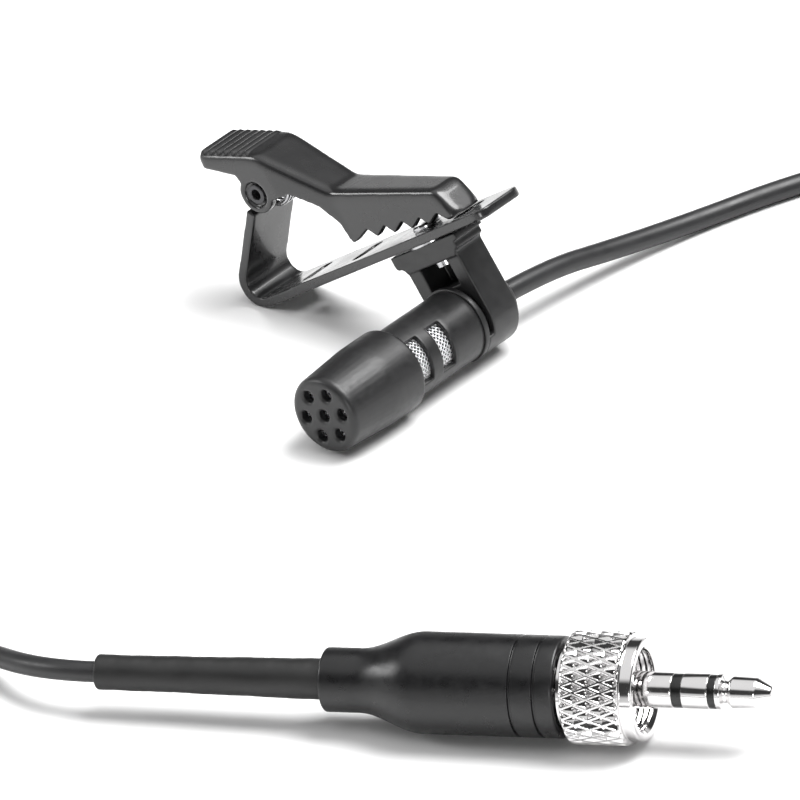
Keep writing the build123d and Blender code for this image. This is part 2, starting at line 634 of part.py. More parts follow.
def lever_top(x):
    """Height of the lever's upper outline at x."""
    corners = (PAD_TIP, PAD_KNEE, PLATEAU_KNEE, PLATEAU_END, NOSE_FRONT)
    for (x0, z0), (x1, z1) in zip(corners, corners[1:]):
        if x <= x1:
            return z0 + (z1 - z0) * (x - x0) / (x1 - x0)
    return corners[-1][1]


def pad_ridges():
    """Cross ridges on the thumb pad."""
    slope = math.degrees(math.atan2(PAD_TIP[1] - PAD_KNEE[1], PAD_KNEE[0] - PAD_TIP[0]))
    ridges = None
    for ridge in range(RIDGES):
        x = PAD_TIP[0] + RIDGE_FROM_TIP + RIDGE_PITCH * ridge
        bar = Cylinder(RIDGE_RADIUS, CLIP_WIDTH - 2 * (LEVER_MARGIN + LEVER_ROUND), rotation=(90, 0, 0))
        bar = Pos(x, JAW_MID_Y, lever_top(x) - RIDGE_RADIUS + RIDGE_HEIGHT) * Rot(0, slope, 0) * bar
        ridges = bar if ridges is None else ridges + bar
    return ridges


def pivot_pin():
    """Hollow rivet through the lever's ears and the jaw's knuckles."""
    low, high = LEVER_MARGIN + PIN_SUNK, CLIP_WIDTH - LEVER_MARGIN - PIN_SUNK
    pin = rod(PIN_RADIUS, low, high)
    pin += rod(PIN_HEAD_RADIUS, low, low + PIN_HEAD_THICKNESS)
    pin += rod(PIN_HEAD_RADIUS, high - PIN_HEAD_THICKNESS, high)
    pin -= rod(PIN_BORE_RADIUS, low - 1, low + PIN_BORE_DEPTH)
    pin -= rod(PIN_BORE_RADIUS, high - PIN_BORE_DEPTH, high + 1)
    return IN_CLIP * (Pos(PIVOT_X, 0, PIVOT_Z) * pin)


def spring_arm_leg_angle():
    """Turn of the arm leg, in degrees, that brings its end to bear on the arm's outer face."""
    outward = arm_frame()[1]
    pin_above_face = ((PIVOT_X - BEND_CENTRE_X) * outward[0] + (PIVOT_Z - BEND_CENTRE_Z) * outward[1]
                      - BEND_OUTER_RADIUS)
    reach = math.hypot(SPRING_RADIUS, SPRING_LEG)
    bearing = math.degrees(math.acos((SPRING_WIRE / 2 + PRESS_GAP - pin_above_face) / reach))
    return bearing + 90 + ARM_ANGLE - math.degrees(math.atan2(SPRING_LEG, SPRING_RADIUS))


SPRING_ARM_LEG_ANGLE = spring_arm_leg_angle()


def torsion_spring():
    """Coil round the pin, one leg bearing on the arm's outer face and one under the thumb pad.

    The coil turns the same way as y grows; rotating it by a leg's angle puts that leg on its tangent.
    """
    wire = SPRING_WIRE / 2
    turns = SPRING_TURNS + (SPRING_PAD_LEG_ANGLE + SPRING_ARM_LEG_ANGLE) / 360
    height = SPRING_PITCH * turns
    path = Helix(pitch=SPRING_PITCH, height=height, radius=SPRING_RADIUS)
    coil = sweep(Plane(path @ 0, z_dir=path % 0) * Circle(wire), path=path)
    coil = Rot(-90, 0, 0) * coil
    arm_leg = Pos(SPRING_RADIUS, 0, (SPRING_LEG - wire) / 2) * Cylinder(wire, SPRING_LEG + wire)
    pad_leg = Pos(SPRING_RADIUS, height, (wire - SPRING_PAD_LEG) / 2) * Cylinder(wire, SPRING_PAD_LEG + wire)
    pad_leg = Rot(0, 360 * turns, 0) * pad_leg
    start_joint = Pos(SPRING_RADIUS, 0, 0) * Sphere(wire)
    end_joint = Rot(0, 360 * turns, 0) * (Pos(SPRING_RADIUS, height, 0) * Sphere(wire))
    spring = Rot(0, -SPRING_ARM_LEG_ANGLE, 0) * (coil + start_joint + end_joint + arm_leg + pad_leg)
    return IN_CLIP * (Pos(PIVOT_X, JAW_MID_Y - height / 2, PIVOT_Z) * spring)


# ================================================================ head placement
HEAD = {
    "mic_cap": mic_cap, "cap_mesh": cap_mesh, "capsule_spacer": capsule_spacer,
    "capsule_can": capsule_can, "capsule_gasket": capsule_gasket, "capsule_board": capsule_board,
    "mic_body": mic_body, "body_mesh": body_mesh, "mic_tail": mic_tail,
    "tail_grommet": tail_grommet, "cord_clamp": cord_clamp, "inner_leads": inner_leads,
    "mic_holder": mic_holder, "swivel_washer": swivel_washer, "swivel_rivet": swivel_rivet,
    "lower_jaw": lower_jaw, "upper_lever": upper_lever, "pivot_pin": pivot_pin,
    "torsion_spring": torsion_spring,
}


def place_head():
    """Every piece of the head, moved so that the origin is under the middle of their box."""
    pieces = {name: make() for name, make in HEAD.items()}
    low, high = [math.inf] * 3, [-math.inf] * 3
    for piece in pieces.values():
        bounds = piece.bounding_box()
        low = [min(a, b) for a, b in zip(low, bounds.min)]
        high = [max(a, b) for a, b in zip(high, bounds.max)]
    shift = Pos(-(low[0] + high[0]) / 2, -(low[1] + high[1]) / 2, -low[2])
    return {name: shift * piece for name, piece in pieces.items()}, shift


# ================================================================ cord
def coil_point(angle, layer):
    """Middle of the cord where it joins or leaves the coil's outermost turn."""
    turn = math.radians(angle)
    height = TIE_THICKNESS + cord_radius() + LAYER_RISE * layer
    return (COIL_CENTRE[0] + COIL_OUTER * math.cos(turn),
            COIL_CENTRE[1] + COIL_OUTER * math.sin(turn), height)


def cord_tube(name, points):
    """A cord along straight runs joined by tangent arcs, each as large as its two runs allow."""
    route = [Vector(*point) for point in points]
    radii = []
    for before, corner, after in zip(route, route[1:], route[2:]):
        turn = math.radians((corner - before).get_angle(after - corner))
        run = min((corner - before).length, (after - corner).length)
        radii.append(ARC_SHARE * run / math.tan(turn / 2))
    path = FilletPolyline(*route, radius=radii)
    solid = sweep(Plane(path @ 0, z_dir=path % 0) * Circle(cord_radius()), path=path)
    section = math.pi * cord_radius() ** 2
    print(f"{name}: length {path.length:.1f}, volume over section {solid.volume / section:.1f}, "
          f"least arc {min(radii):.1f}, arcs {[round(radius, 1) for radius in radii]}")
    return solid


def cord_lead(shift):
    """The cord from the microphone's tail down to the coil."""
    tail = shift * Pos(0, TAIL_END_Y + 5 * PRESS_GAP, 0)
    return cord_tube("cord_lead", [tuple(tail.position), *LEAD_ROUTE, coil_point(COIL_ENTRY, 0)])


def cord_return():
    """The cord from the coil round to the plug."""
    rear = PLUG * Pos(0, -PRESS_GAP, 0)
    before = PLUG * Pos(0, -PLUG_RUN, 0)
    return cord_tube("cord_return", [coil_point(COIL_EXIT, COIL_LAYERS - 1), *RETURN_ROUTE,
                                     tuple(before.position), tuple(rear.position)])


def coil_box():
    """Inner radius, outer radius and height of the coil's outer shape."""
    return (COIL_INNER - cord_radius(), COIL_OUTER + cord_radius(),
            CORD_DIAMETER + LAYER_RISE * (COIL_LAYERS - 1))


def cord_coil():
    """Outer shape of the tied coil."""
    inner, outer, height = coil_box()
    ring = Cylinder(outer, height) - Cylinder(inner, height)
    ring = fillet(ring.edges().filter_by(GeomType.CIRCLE), cord_radius() * 0.8)
    return Pos(*COIL_CENTRE, TIE_THICKNESS + height / 2) * ring


def cord_tie():
    """Strap round the coil's turns."""
    inner, outer, height = coil_box()
    inner = math.sqrt(inner ** 2 - (TIE_WIDTH / 2) ** 2)
    middle = (inner + outer) / 2
    width = outer - inner + 2 * PRESS_GAP
    loop = Box(width + 2 * TIE_THICKNESS, TIE_WIDTH, height + 2 * TIE_THICKNESS)
    loop = fillet(loop.edges().filter_by(Axis.Y), cord_radius() * 0.8 + TIE_THICKNESS)
    hole = Box(width, TIE_WIDTH + 1, height + 2 * PRESS_GAP)
    hole = fillet(hole.edges().filter_by(Axis.Y), cord_radius() * 0.7)
    loop -= hole
    return (Pos(*COIL_CENTRE, TIE_THICKNESS + height / 2) * Rot(0, 0, TIE_ANGLE)
            * Pos(middle, 0, 0) * loop)


# ================================================================ plug, rear end of the relief at y = 0
BARREL_START = RELIEF_LENGTH
BARREL_END = BARREL_START + BARREL_LENGTH
NUT_START = BARREL_END + NUT_GAP
NUT_KNURL_END = NUT_START + NUT_LENGTH
NUT_END = NUT_KNURL_END + NUT_COLLAR_LENGTH
JACK_SHOULDER = NUT_END - SHOULDER_IN_NUT
STEM_START = BARREL_END - STEM_REAR_LENGTH
PLUG_LIFT = (NUT_RADIUS * math.cos(math.radians(PLUG_PITCH))
             - NUT_START * math.sin(math.radians(PLUG_PITCH)))
PLUG = Pos(*PLUG_REAR, PLUG_LIFT) * Rot(0, 0, PLUG_YAW - 90) * Rot(PLUG_PITCH, 0, 0)


def relief_sleeve():
    """Tapered strain relief; its front end is inside the barrel."""
    bore = cord_radius() + PRESS_GAP
    front = RELIEF_LENGTH + RELIEF_IN_BARREL
    return turned([(bore, 0), (RELIEF_REAR_RADIUS, 0), (RELIEF_FRONT_RADIUS, RELIEF_LENGTH),
                   (RELIEF_FRONT_RADIUS, front), (bore, front)],
                  rounds=[(1, 0.3)])


def plug_cord_end():
    """The cord's jacketed end inside the relief sleeve and the barrel."""
    return rod(cord_radius(), 0, BARREL_START + JACKET_IN_BARREL)


def plug_crimp():
    """Crimped ring on the cord inside the barrel."""
    start = BARREL_START + CRIMP_START
    return tube(CRIMP_RADIUS, cord_radius() + PRESS_GAP, start, start + CRIMP_LENGTH)


def plug_barrel():
    """Barrel: a short rear land, a smooth flare and a grooved front."""
    start, end = BARREL_START, BARREL_END
    flare_start = start + BARREL_REAR_LAND
    flare_end = flare_start + BARREL_FLARE
    inner = BARREL_RADIUS - BARREL_WALL
    mouth = RELIEF_FRONT_RADIUS + PRESS_GAP
    rear = Line((mouth, start), (BARREL_REAR_RADIUS, start))
    land = Line(rear @ 1, (BARREL_REAR_RADIUS, flare_start))
    flare = Spline(land @ 1, (BARREL_RADIUS, flare_end), tangents=[(0, 1), (0, 1)])
    side = Line(flare @ 1, (BARREL_RADIUS, end))
    front = Line(side @ 1, (inner, end))
    inside = Polyline(front @ 1, (inner, flare_end + 0.5), (mouth, flare_start), rear @ 0)
    outline = make_face([rear, land, flare, side, front, inside])
    barrel = Rot(-90, 0, 0) * revolve(Plane.XZ * outline, Axis.Z)
    for distance in BARREL_GROOVES:
        middle = end - distance
        barrel -= tube(BARREL_RADIUS + 1, BARREL_RADIUS - GROOVE_DEPTH,
                       middle - GROOVE_WIDTH / 2, middle + GROOVE_WIDTH / 2)
    return barrel


def plug_stem():
    """Chromed stem: root pressed into the barrel, neck for the slip ring, stop and shoulder."""
    root = BARREL_RADIUS - BARREL_WALL - PRESS_GAP
    stop = NUT_START + NUT_REAR_WALL + SIDE_GAP + SLIP_LIP + NUT_TRAVEL + SIDE_GAP
    bore = JACK_RADIUS - JACK_SEAT_STEP + PRESS_GAP
    return turned([(bore, STEM_START), (root, STEM_START), (root, BARREL_END - PRESS_GAP),
                   (STEM_RADIUS, BARREL_END - PRESS_GAP), (STEM_RADIUS, stop),
                   (STEM_STOP_RADIUS, stop), (STEM_STOP_RADIUS, JACK_SHOULDER - PRESS_GAP),
                   (bore, JACK_SHOULDER - PRESS_GAP)], rounds=[(6, 0.2)])


def slip_ring():
    """Ring that slides on the stem and lets the nut turn between its two lips."""
    bore = STEM_RADIUS + RUNNING_GAP
    body = bore + SLIP_WALL
    front = NUT_START + NUT_REAR_WALL + SIDE_GAP
    rear = NUT_START - SIDE_GAP
    return turned([(bore, rear - SLIP_REAR_LIP), (SLIP_REAR_RADIUS, rear - SLIP_REAR_LIP),
                   (SLIP_REAR_RADIUS, rear), (body, rear), (body, front),
                   (NUT_THREAD_RADIUS - SIDE_GAP, front),
                   (NUT_THREAD_RADIUS - SIDE_GAP, front + SLIP_LIP), (bore, front + SLIP_LIP)])


def lock_nut():
    """Knurled locking nut with its internal thread at the front."""
    hole = STEM_RADIUS + RUNNING_GAP + SLIP_WALL + RUNNING_GAP
    knurl = NUT_RADIUS
    return turned([(hole, NUT_START), (knurl, NUT_START), (knurl, NUT_KNURL_END),
                   (NUT_COLLAR_RADIUS, NUT_KNURL_END), (NUT_COLLAR_RADIUS, NUT_END),
                   (NUT_THREAD_RADIUS + NUT_FRONT_CHAMFER, NUT_END),
                   (NUT_THREAD_RADIUS, NUT_END - NUT_FRONT_CHAMFER),
                   (NUT_THREAD_RADIUS, NUT_START + NUT_REAR_WALL), (hole, NUT_START + NUT_REAR_WALL)],
                  rounds=[(1, 0.35), (2, 0.35), (4, 0.2)])


def layer_start(layer):
    """Rear end of a layer of the jack: 0 the sleeve, 4 the tip's rod."""
    return STEM_START - 0.5 - JACK_TAIL_STEP * layer


def jack_sleeve():
    """Outer contact of the jack, seated in the stem as far as the shoulder."""
    seat = JACK_RADIUS - JACK_SEAT_STEP
    bore = JACK_RADII[3] + PRESS_GAP
    return turned([(bore, layer_start(0)), (seat, layer_start(0)), (seat, JACK_SHOULDER),
                   (JACK_RADIUS, JACK_SHOULDER), (JACK_RADIUS, NUT_END + JACK_STEPS[0]),
                   (bore, NUT_END + JACK_STEPS[0])])


def insulator_rear():
    """Insulator between the sleeve and the ring."""
    return turned([(JACK_RADII[2] + PRESS_GAP, layer_start(1)), (JACK_RADII[3], layer_start(1)),
                   (JACK_RADII[3], NUT_END + JACK_STEPS[0] + PRESS_GAP),
                   (JACK_RADIUS, NUT_END + JACK_STEPS[0] + PRESS_GAP),
                   (JACK_RADIUS, NUT_END + JACK_STEPS[1] - PRESS_GAP),
                   (JACK_RADII[2] + PRESS_GAP, NUT_END + JACK_STEPS[1] - PRESS_GAP)])


def jack_ring():
    """Ring contact with the tube that carries it back into the barrel."""
    return turned([(JACK_RADII[1] + PRESS_GAP, layer_start(2)), (JACK_RADII[2], layer_start(2)),
                   (JACK_RADII[2], NUT_END + JACK_STEPS[1]), (JACK_RADIUS, NUT_END + JACK_STEPS[1]),
                   (JACK_RADIUS, NUT_END + JACK_STEPS[2]),
                   (JACK_RADII[1] + PRESS_GAP, NUT_END + JACK_STEPS[2])])


def insulator_front():
    """Insulator between the ring and the tip."""
    return turned([(JACK_RADII[0] + PRESS_GAP, layer_start(3)), (JACK_RADII[1], layer_start(3)),
                   (JACK_RADII[1], NUT_END + JACK_STEPS[2] + PRESS_GAP),
                   (JACK_RADIUS, NUT_END + JACK_STEPS[2] + PRESS_GAP),
                   (JACK_RADIUS, NUT_END + JACK_STEPS[3] - PRESS_GAP),
                   (JACK_RADII[0] + PRESS_GAP, NUT_END + JACK_STEPS[3] - PRESS_GAP)])


def jack_tip():
    """Tip contact: collar, neck, swell and cone, with the rod behind it."""
    end = NUT_END + JACK_REACH
    return turned([(0, layer_start(4)), (JACK_RADII[0], layer_start(4)),
                   (JACK_RADII[0], NUT_END + JACK_STEPS[3]), (JACK_RADIUS, NUT_END + JACK_STEPS[3]),
                   (JACK_RADIUS, NUT_END + JACK_NECK[0]), (JACK_NECK_RADIUS, NUT_END + JACK_NECK[0] + 0.25),
                   (JACK_NECK_RADIUS, NUT_END + JACK_NECK[1]),
                   (JACK_TIP_RADIUS, NUT_END + JACK_NECK[1] + 0.35),
                   (JACK_TIP_RADIUS, end - JACK_CONE), (0.45, end), (0, end)],
                  rounds=[(8, 0.4), (9, 0.3)])


def solder_tags():
    """Three tags at the rear ends of the jack's contacts."""
    tags = []
    for layer, radius, turn in ((0, JACK_RADII[3], 0), (2, JACK_RADII[1], 120), (4, 0.0, 240)):
        end = layer_start(layer) - PRESS_GAP
        tag = Pos(0, end - TAG_SIZE[1] / 2, radius + TAG_SIZE[2]) * Box(*TAG_SIZE)
        tags.append(Rot(0, turn, 0) * tag)
    return Compound(children=tags)


def plug_leads():
    """Three conductors from the cord's end to the tags."""
    start = BARREL_START + JACKET_IN_BARREL + PRESS_GAP
    end = layer_start(4) - TAG_SIZE[1] - 2 * PRESS_GAP
    leads = []
    for turn in (0, 120, 240):
        leads.append(Rot(0, turn, 0) * Pos(0, 0, 0.5) * rod(LEAD_RADIUS, start, end))
    return Compound(children=leads)


PLUG_PIECES = {
    "relief_sleeve": relief_sleeve, "plug_cord_end": plug_cord_end, "plug_crimp": plug_crimp,
    "plug_barrel": plug_barrel, "plug_stem": plug_stem, "slip_ring": slip_ring,
    "lock_nut": lock_nut, "jack_sleeve": jack_sleeve, "insulator_rear": insulator_rear,
    "jack_ring": jack_ring, "insulator_front": insulator_front, "jack_tip": jack_tip,
    "solder_tags": solder_tags, "plug_leads": plug_leads,
}


def main():
    """Build every piece and write one STEP file each."""
    os.makedirs("parts", exist_ok=True)
    pieces, shift = place_head()
    pieces["cord_lead"] = cord_lead(shift)
    pieces["cord_coil"] = cord_coil()
    pieces["cord_tie"] = cord_tie()
    pieces["cord_return"] = cord_return()
    for name, make in PLUG_PIECES.items():
        pieces[name] = PLUG * make()
    for name, piece in pieces.items():
        export_step(piece, f"parts/{name}.step")
    report = {"microphone axis": shift * Pos(0, 0, 0), "pivot": shift * IN_CLIP * Pos(PIVOT_X, 0, PIVOT_Z),
              "swivel": shift * IN_CLIP * Pos(MIC_ALONG_JAW, JAW_MID_Y, 0),
              "nut front": PLUG * Pos(0, NUT_END, 0)}
    for name, place in report.items():
        print(name, [round(value, 4) for value in place.position])
    print("jaw slope", round(JAW_SLOPE, 3))


main()
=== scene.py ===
"""Looks of a lavalier microphone in its tie clip, with its tied cord and its locking plug.

Lengths inside the classes are millimetres in each sub-assembly's own axes; every mesh is put in
place in metres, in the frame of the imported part, before it becomes an object.
"""
from __future__ import annotations

import json
import logging
import math
from dataclasses import dataclass, field
from enum import Enum
from typing import Callable, Sequence

import bpy
import numpy as np
from mathutils import Matrix, Vector

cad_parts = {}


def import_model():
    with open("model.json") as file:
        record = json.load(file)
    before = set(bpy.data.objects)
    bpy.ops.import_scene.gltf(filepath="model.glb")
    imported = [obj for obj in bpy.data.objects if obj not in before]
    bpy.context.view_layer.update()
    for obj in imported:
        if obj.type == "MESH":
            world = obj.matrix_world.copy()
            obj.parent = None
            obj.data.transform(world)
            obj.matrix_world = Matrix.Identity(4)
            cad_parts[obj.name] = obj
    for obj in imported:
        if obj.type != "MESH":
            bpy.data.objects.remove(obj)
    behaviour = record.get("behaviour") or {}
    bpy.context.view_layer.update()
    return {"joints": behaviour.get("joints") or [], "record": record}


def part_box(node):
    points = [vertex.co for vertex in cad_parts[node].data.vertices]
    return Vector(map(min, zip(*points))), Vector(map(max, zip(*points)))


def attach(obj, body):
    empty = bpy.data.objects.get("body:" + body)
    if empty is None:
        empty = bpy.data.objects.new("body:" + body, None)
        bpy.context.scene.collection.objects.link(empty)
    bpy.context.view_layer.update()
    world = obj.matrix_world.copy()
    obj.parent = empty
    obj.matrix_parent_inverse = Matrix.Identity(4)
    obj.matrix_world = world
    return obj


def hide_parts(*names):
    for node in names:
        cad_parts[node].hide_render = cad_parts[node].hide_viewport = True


LOG = logging.getLogger("lavalier")
MM = 0.001
SWIVEL_ALONG_JAW = 18.7
SWIVEL_ACROSS_JAW = 3.25
CONTACT_MIDDLE = 58.05      # from the rear of the relief sleeve, mm


class Body(Enum):
    """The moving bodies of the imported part."""

    MICROPHONE = "microphone"
    HOLDER = "holder"
    CLIP = "clip"
    LEVER = "lever"
    SLIP_RING = "slip_ring"
    LOCK_NUT = "lock_nut"


class Slot(Enum):
    """Material slots of the record."""

    MOULDING = "black_moulding"
    HOLDER = "holder_plastic"
    MESH = "steel_mesh"
    FELT = "black_felt"
    CAPSULE = "capsule_metal"
    RUBBER = "black_rubber"
    BOARD = "circuit_board"
    LEAD = "lead_insulation"
    SPRING = "spring_steel"
    PAINT = "black_painted_metal"
    RIVET = "dark_rivet"
    JACKET = "cord_jacket"
    STRAP = "tie_strap"
    RELIEF = "relief_rubber"
    BARREL = "barrel_black"
    CHROME = "chrome_plate"
    INSULATOR = "black_insulator"
    TAG = "tag_brass"


# ====================================================================== finishes
@dataclass(frozen=True)
class Finish:
    """A procedural finish: one principled surface with grain and mottling.

    Attributes:
        slot: The record's slot that the finish belongs to.
        colour: Base colour, linear.
        roughness: Middle roughness.
        metallic: 0 for plastics and paint, 1 for bare metal.
        specular: Specular level of the surface.
        coat: Weight of a clear coat.
        grain: Size of the surface grain, mm.
        depth: Height of the grain, mm.
        spread: How far the roughness wanders either way.
        mottle: How far the colour wanders, as a share of the colour.
    """

    slot: Slot
    colour: tuple[float, float, float]
    roughness: float
    metallic: float = 0.0
    specular: float = 0.5
    coat: float = 0.0
    grain: float = 0.15
    depth: float = 0.004
    spread: float = 0.06
    mottle: float = 0.15

    def material(self) -> bpy.types.Material:
        """Make the finish's material once and share it from then on.

        Returns:
            The material.
        """
        name = f"{self.slot.value}_finish"
        made = bpy.data.materials.get(name)
        if made is not None:
            return made
        made = bpy.data.materials.new(name)
        made.use_nodes = True
        tree = made.node_tree
        shader = tree.nodes["Principled BSDF"]
        shader.inputs["Metallic"].default_value = self.metallic
        shader.inputs["Specular IOR Level"].default_value = self.specular
        shader.inputs["Coat Weight"].default_value = self.coat
        place = tree.nodes.new("ShaderNodeTexCoord").outputs["Object"]
        self._colour(tree, shader, place)
        self._roughness(tree, shader, place)
        self._relief(tree, shader, place)
        return made

    def _noise(self, tree: bpy.types.NodeTree, place: bpy.types.NodeSocket, size: float,
               detail: float) -> bpy.types.NodeSocket:
        """Add a noise texture.

        Args:
            tree: The material's node tree.
            place: The Object coordinates.
            size: How wide the features are, mm.
            detail: Octaves of the noise.

        Returns:
            The noise value, between 0 and 1.
        """
        noise = tree.nodes.new("ShaderNodeTexNoise")
        noise.inputs["Scale"].default_value = 1.0 / (size * MM)
        noise.inputs["Detail"].default_value = detail
        tree.links.new(place, noise.inputs["Vector"])
        return noise.outputs["Fac"]

    def _colour(self, tree: bpy.types.NodeTree, shader: bpy.types.Node,
                place: bpy.types.NodeSocket) -> None:
        """Mix a darker and a lighter tone by a slow noise.

        Args:
            tree: The material's node tree.
            shader: Its principled surface.
            place: The Object coordinates.
        """
        mix = tree.nodes.new("ShaderNodeMix")
        mix.data_type = "RGBA"
        dark = [value * (1 - self.mottle) for value in self.colour]
        light = [value * (1 + self.mottle) for value in self.colour]
        mix.inputs["A"].default_value = (*dark, 1)
        mix.inputs["B"].default_value = (*light, 1)
        tree.links.new(self._noise(tree, place, 12 * self.grain, 3.0), mix.inputs["Factor"])
        tree.links.new(mix.outputs["Result"], shader.inputs["Base Color"])

    def _roughness(self, tree: bpy.types.NodeTree, shader: bpy.types.Node,
                   place: bpy.types.NodeSocket) -> None:
        """Let the roughness wander by its spread with a slow noise.

        Args:
            tree: The material's node tree.
            shader: Its principled surface.
            place: The Object coordinates.
        """
        ramp = tree.nodes.new("ShaderNodeMapRange")
        ramp.inputs["From Min"].default_value = 0.3
        ramp.inputs["From Max"].default_value = 0.7
        ramp.inputs["To Min"].default_value = max(0.02, self.roughness - self.spread)
        ramp.inputs["To Max"].default_value = self.roughness + self.spread
        tree.links.new(self._noise(tree, place, 6 * self.grain, 4.0), ramp.inputs["Value"])
        tree.links.new(ramp.outputs["Result"], shader.inputs["Roughness"])

    def _relief(self, tree: bpy.types.NodeTree, shader: bpy.types.Node,
                place: bpy.types.NodeSocket) -> None:
        """Raise the grain as a bump of its own height.

        Args:
            tree: The material's node tree.
            shader: Its principled surface.
            place: The Object coordinates.
        """
        bump = tree.nodes.new("ShaderNodeBump")
        bump.inputs["Distance"].default_value = self.depth * MM
        tree.links.new(self._noise(tree, place, self.grain, 2.0), bump.inputs["Height"])
        tree.links.new(bump.outputs["Normal"], shader.inputs["Normal"])


MOULDING = Finish(Slot.MOULDING, (0.011, 0.011, 0.0115), 0.4, grain=0.13, depth=0.004)
HOLDER = Finish(Slot.HOLDER, (0.016, 0.016, 0.0165), 0.36, grain=0.2, depth=0.003)
MESH = Finish(Slot.MESH, (0.9, 0.9, 0.91), 0.4, metallic=1.0, grain=0.1, depth=0.001)
FELT = Finish(Slot.FELT, (0.012, 0.012, 0.012), 0.95, grain=0.1, depth=0.05)
CAPSULE = Finish(Slot.CAPSULE, (0.75, 0.75, 0.77), 0.32, metallic=1.0, depth=0.002)
RUBBER = Finish(Slot.RUBBER, (0.01, 0.01, 0.01), 0.62, grain=0.12, depth=0.006)
BOARD = Finish(Slot.BOARD, (0.008, 0.05, 0.02), 0.4, depth=0.003)
LEAD = Finish(Slot.LEAD, (0.02, 0.012, 0.012), 0.35, depth=0.001)
SPRING = Finish(Slot.SPRING, (0.46, 0.46, 0.47), 0.22, metallic=1.0, grain=0.1, depth=0.0005)
PAINT = Finish(Slot.PAINT, (0.014, 0.014, 0.0145), 0.27, coat=0.3, grain=0.5, depth=0.0012, mottle=0.08)
RIVET = Finish(Slot.RIVET, (0.06, 0.06, 0.063), 0.3, metallic=0.7, depth=0.001)
JACKET = Finish(Slot.JACKET, (0.017, 0.017, 0.018), 0.42, grain=0.25, depth=0.005)
STRAP = Finish(Slot.STRAP, (0.009, 0.009, 0.0095), 0.85, grain=0.22, depth=0.06)
RELIEF = Finish(Slot.RELIEF, (0.007, 0.007, 0.007), 0.48, grain=0.4, depth=0.01)
BARREL = Finish(Slot.BARREL, (0.0065, 0.0065, 0.007), 0.32, grain=0.16, depth=0.002)
CHROME = Finish(Slot.CHROME, (0.74, 0.73, 0.73), 0.11, metallic=1.0, grain=0.3, depth=0.0003, spread=0.03,
                mottle=0.05)
INSULATOR = Finish(Slot.INSULATOR, (0.008, 0.008, 0.008), 0.22, depth=0.0005)
TAG = Finish(Slot.TAG, (0.7, 0.5, 0.2), 0.25, metallic=1.0, depth=0.001)


# ====================================================================== shapes
@dataclass
class Shape:
    """Vertices in millimetres with their polygons, before it becomes an object."""

    vertices: np.ndarray
    quads: np.ndarray
    others: list[list[int]] = field(default_factory=list)

    def joined(self, other: "Shape") -> "Shape":
        """Return this shape and another as one.

        Args:
            other: The shape that is added.

        Returns:
            A shape with the vertices and the polygons of both.
        """
        start = len(self.vertices)
        others = self.others + [[corner + start for corner in face] for face in other.others]
        return Shape(np.vstack([self.vertices, other.vertices]),
                     np.vstack([self.quads, other.quads + start]), others)

    def outward(self) -> "Shape":
        """Turn the faces outwards, so that the sum of their signed cones from the origin is positive.

        Returns:
            This shape, or the same with every face turned round.
        """
        a, b, c, d = (self.vertices[self.quads[:, k]] for k in range(4))
        cones = np.einsum("ij,ij->i", np.cross(a, b), c) + np.einsum("ij,ij->i", np.cross(a, c), d)
        if cones.sum() >= 0:
            return self
        return Shape(self.vertices, self.quads[:, ::-1], [face[::-1] for face in self.others])


def grid_quads(rows: int, columns: int, wrap_rows: bool, wrap_columns: bool) -> np.ndarray:
    """Corner numbers of the quads of a grid of rows times columns vertices.

    Args:
        rows: Vertices in the first direction.
        columns: Vertices in the second direction.
        wrap_rows: Whether the last row joins the first.
        wrap_columns: Whether the last column joins the first.

    Returns:
        An array of four corner numbers a quad.
    """
    i, j = np.meshgrid(np.arange(rows if wrap_rows else rows - 1),
                       np.arange(columns if wrap_columns else columns - 1), indexing="ij")
    k, m = (i + 1) % rows, (j + 1) % columns
    return np.stack([i * columns + j, i * columns + m, k * columns + m, k * columns + j], -1).reshape(-1, 4)


def rounded(corners: Sequence[tuple[float, float, float]], closed: bool = True, steps: int = 6) -> np.ndarray:
    """Points of an outline whose corners are arcs tangent to the two sides beside each.

    Args:
        corners: (first, second, corner radius) of each corner in order.
        closed: Whether the last corner joins the first; the ends of an open outline stay sharp.
        steps: Points on each arc.

    Returns:
        An array of (first, second) points.
    """
    points = np.array(corners, float)
    out: list[np.ndarray] = []
    count = len(points)
    for i, (x, y, radius) in enumerate(points):
        here = np.array((x, y))
        if radius <= 0 or (not closed and i in (0, count - 1)):
            out.append(here[None])
            continue
        before, after = points[i - 1, :2] - here, points[(i + 1) % count, :2] - here
        a, b = before / np.linalg.norm(before), after / np.linalg.norm(after)
        half = math.acos(max(-1.0, min(1.0, float(a @ b)))) / 2
        reach = radius / math.tan(half)
        middle = (a + b) / np.linalg.norm(a + b)
        centre = here + middle * radius / math.sin(half)
        start, end = here + a * reach - centre, here + b * reach - centre
        turn = math.atan2(start[0] * end[1] - start[1] * end[0], float(start @ end))
        angle = turn * np.linspace(0, 1, steps)
        cos, sin = np.cos(angle), np.sin(angle)
        out.append(centre + np.stack([start[0] * cos - start[1] * sin, start[0] * sin + start[1] * cos], -1))
    return np.vstack(out)


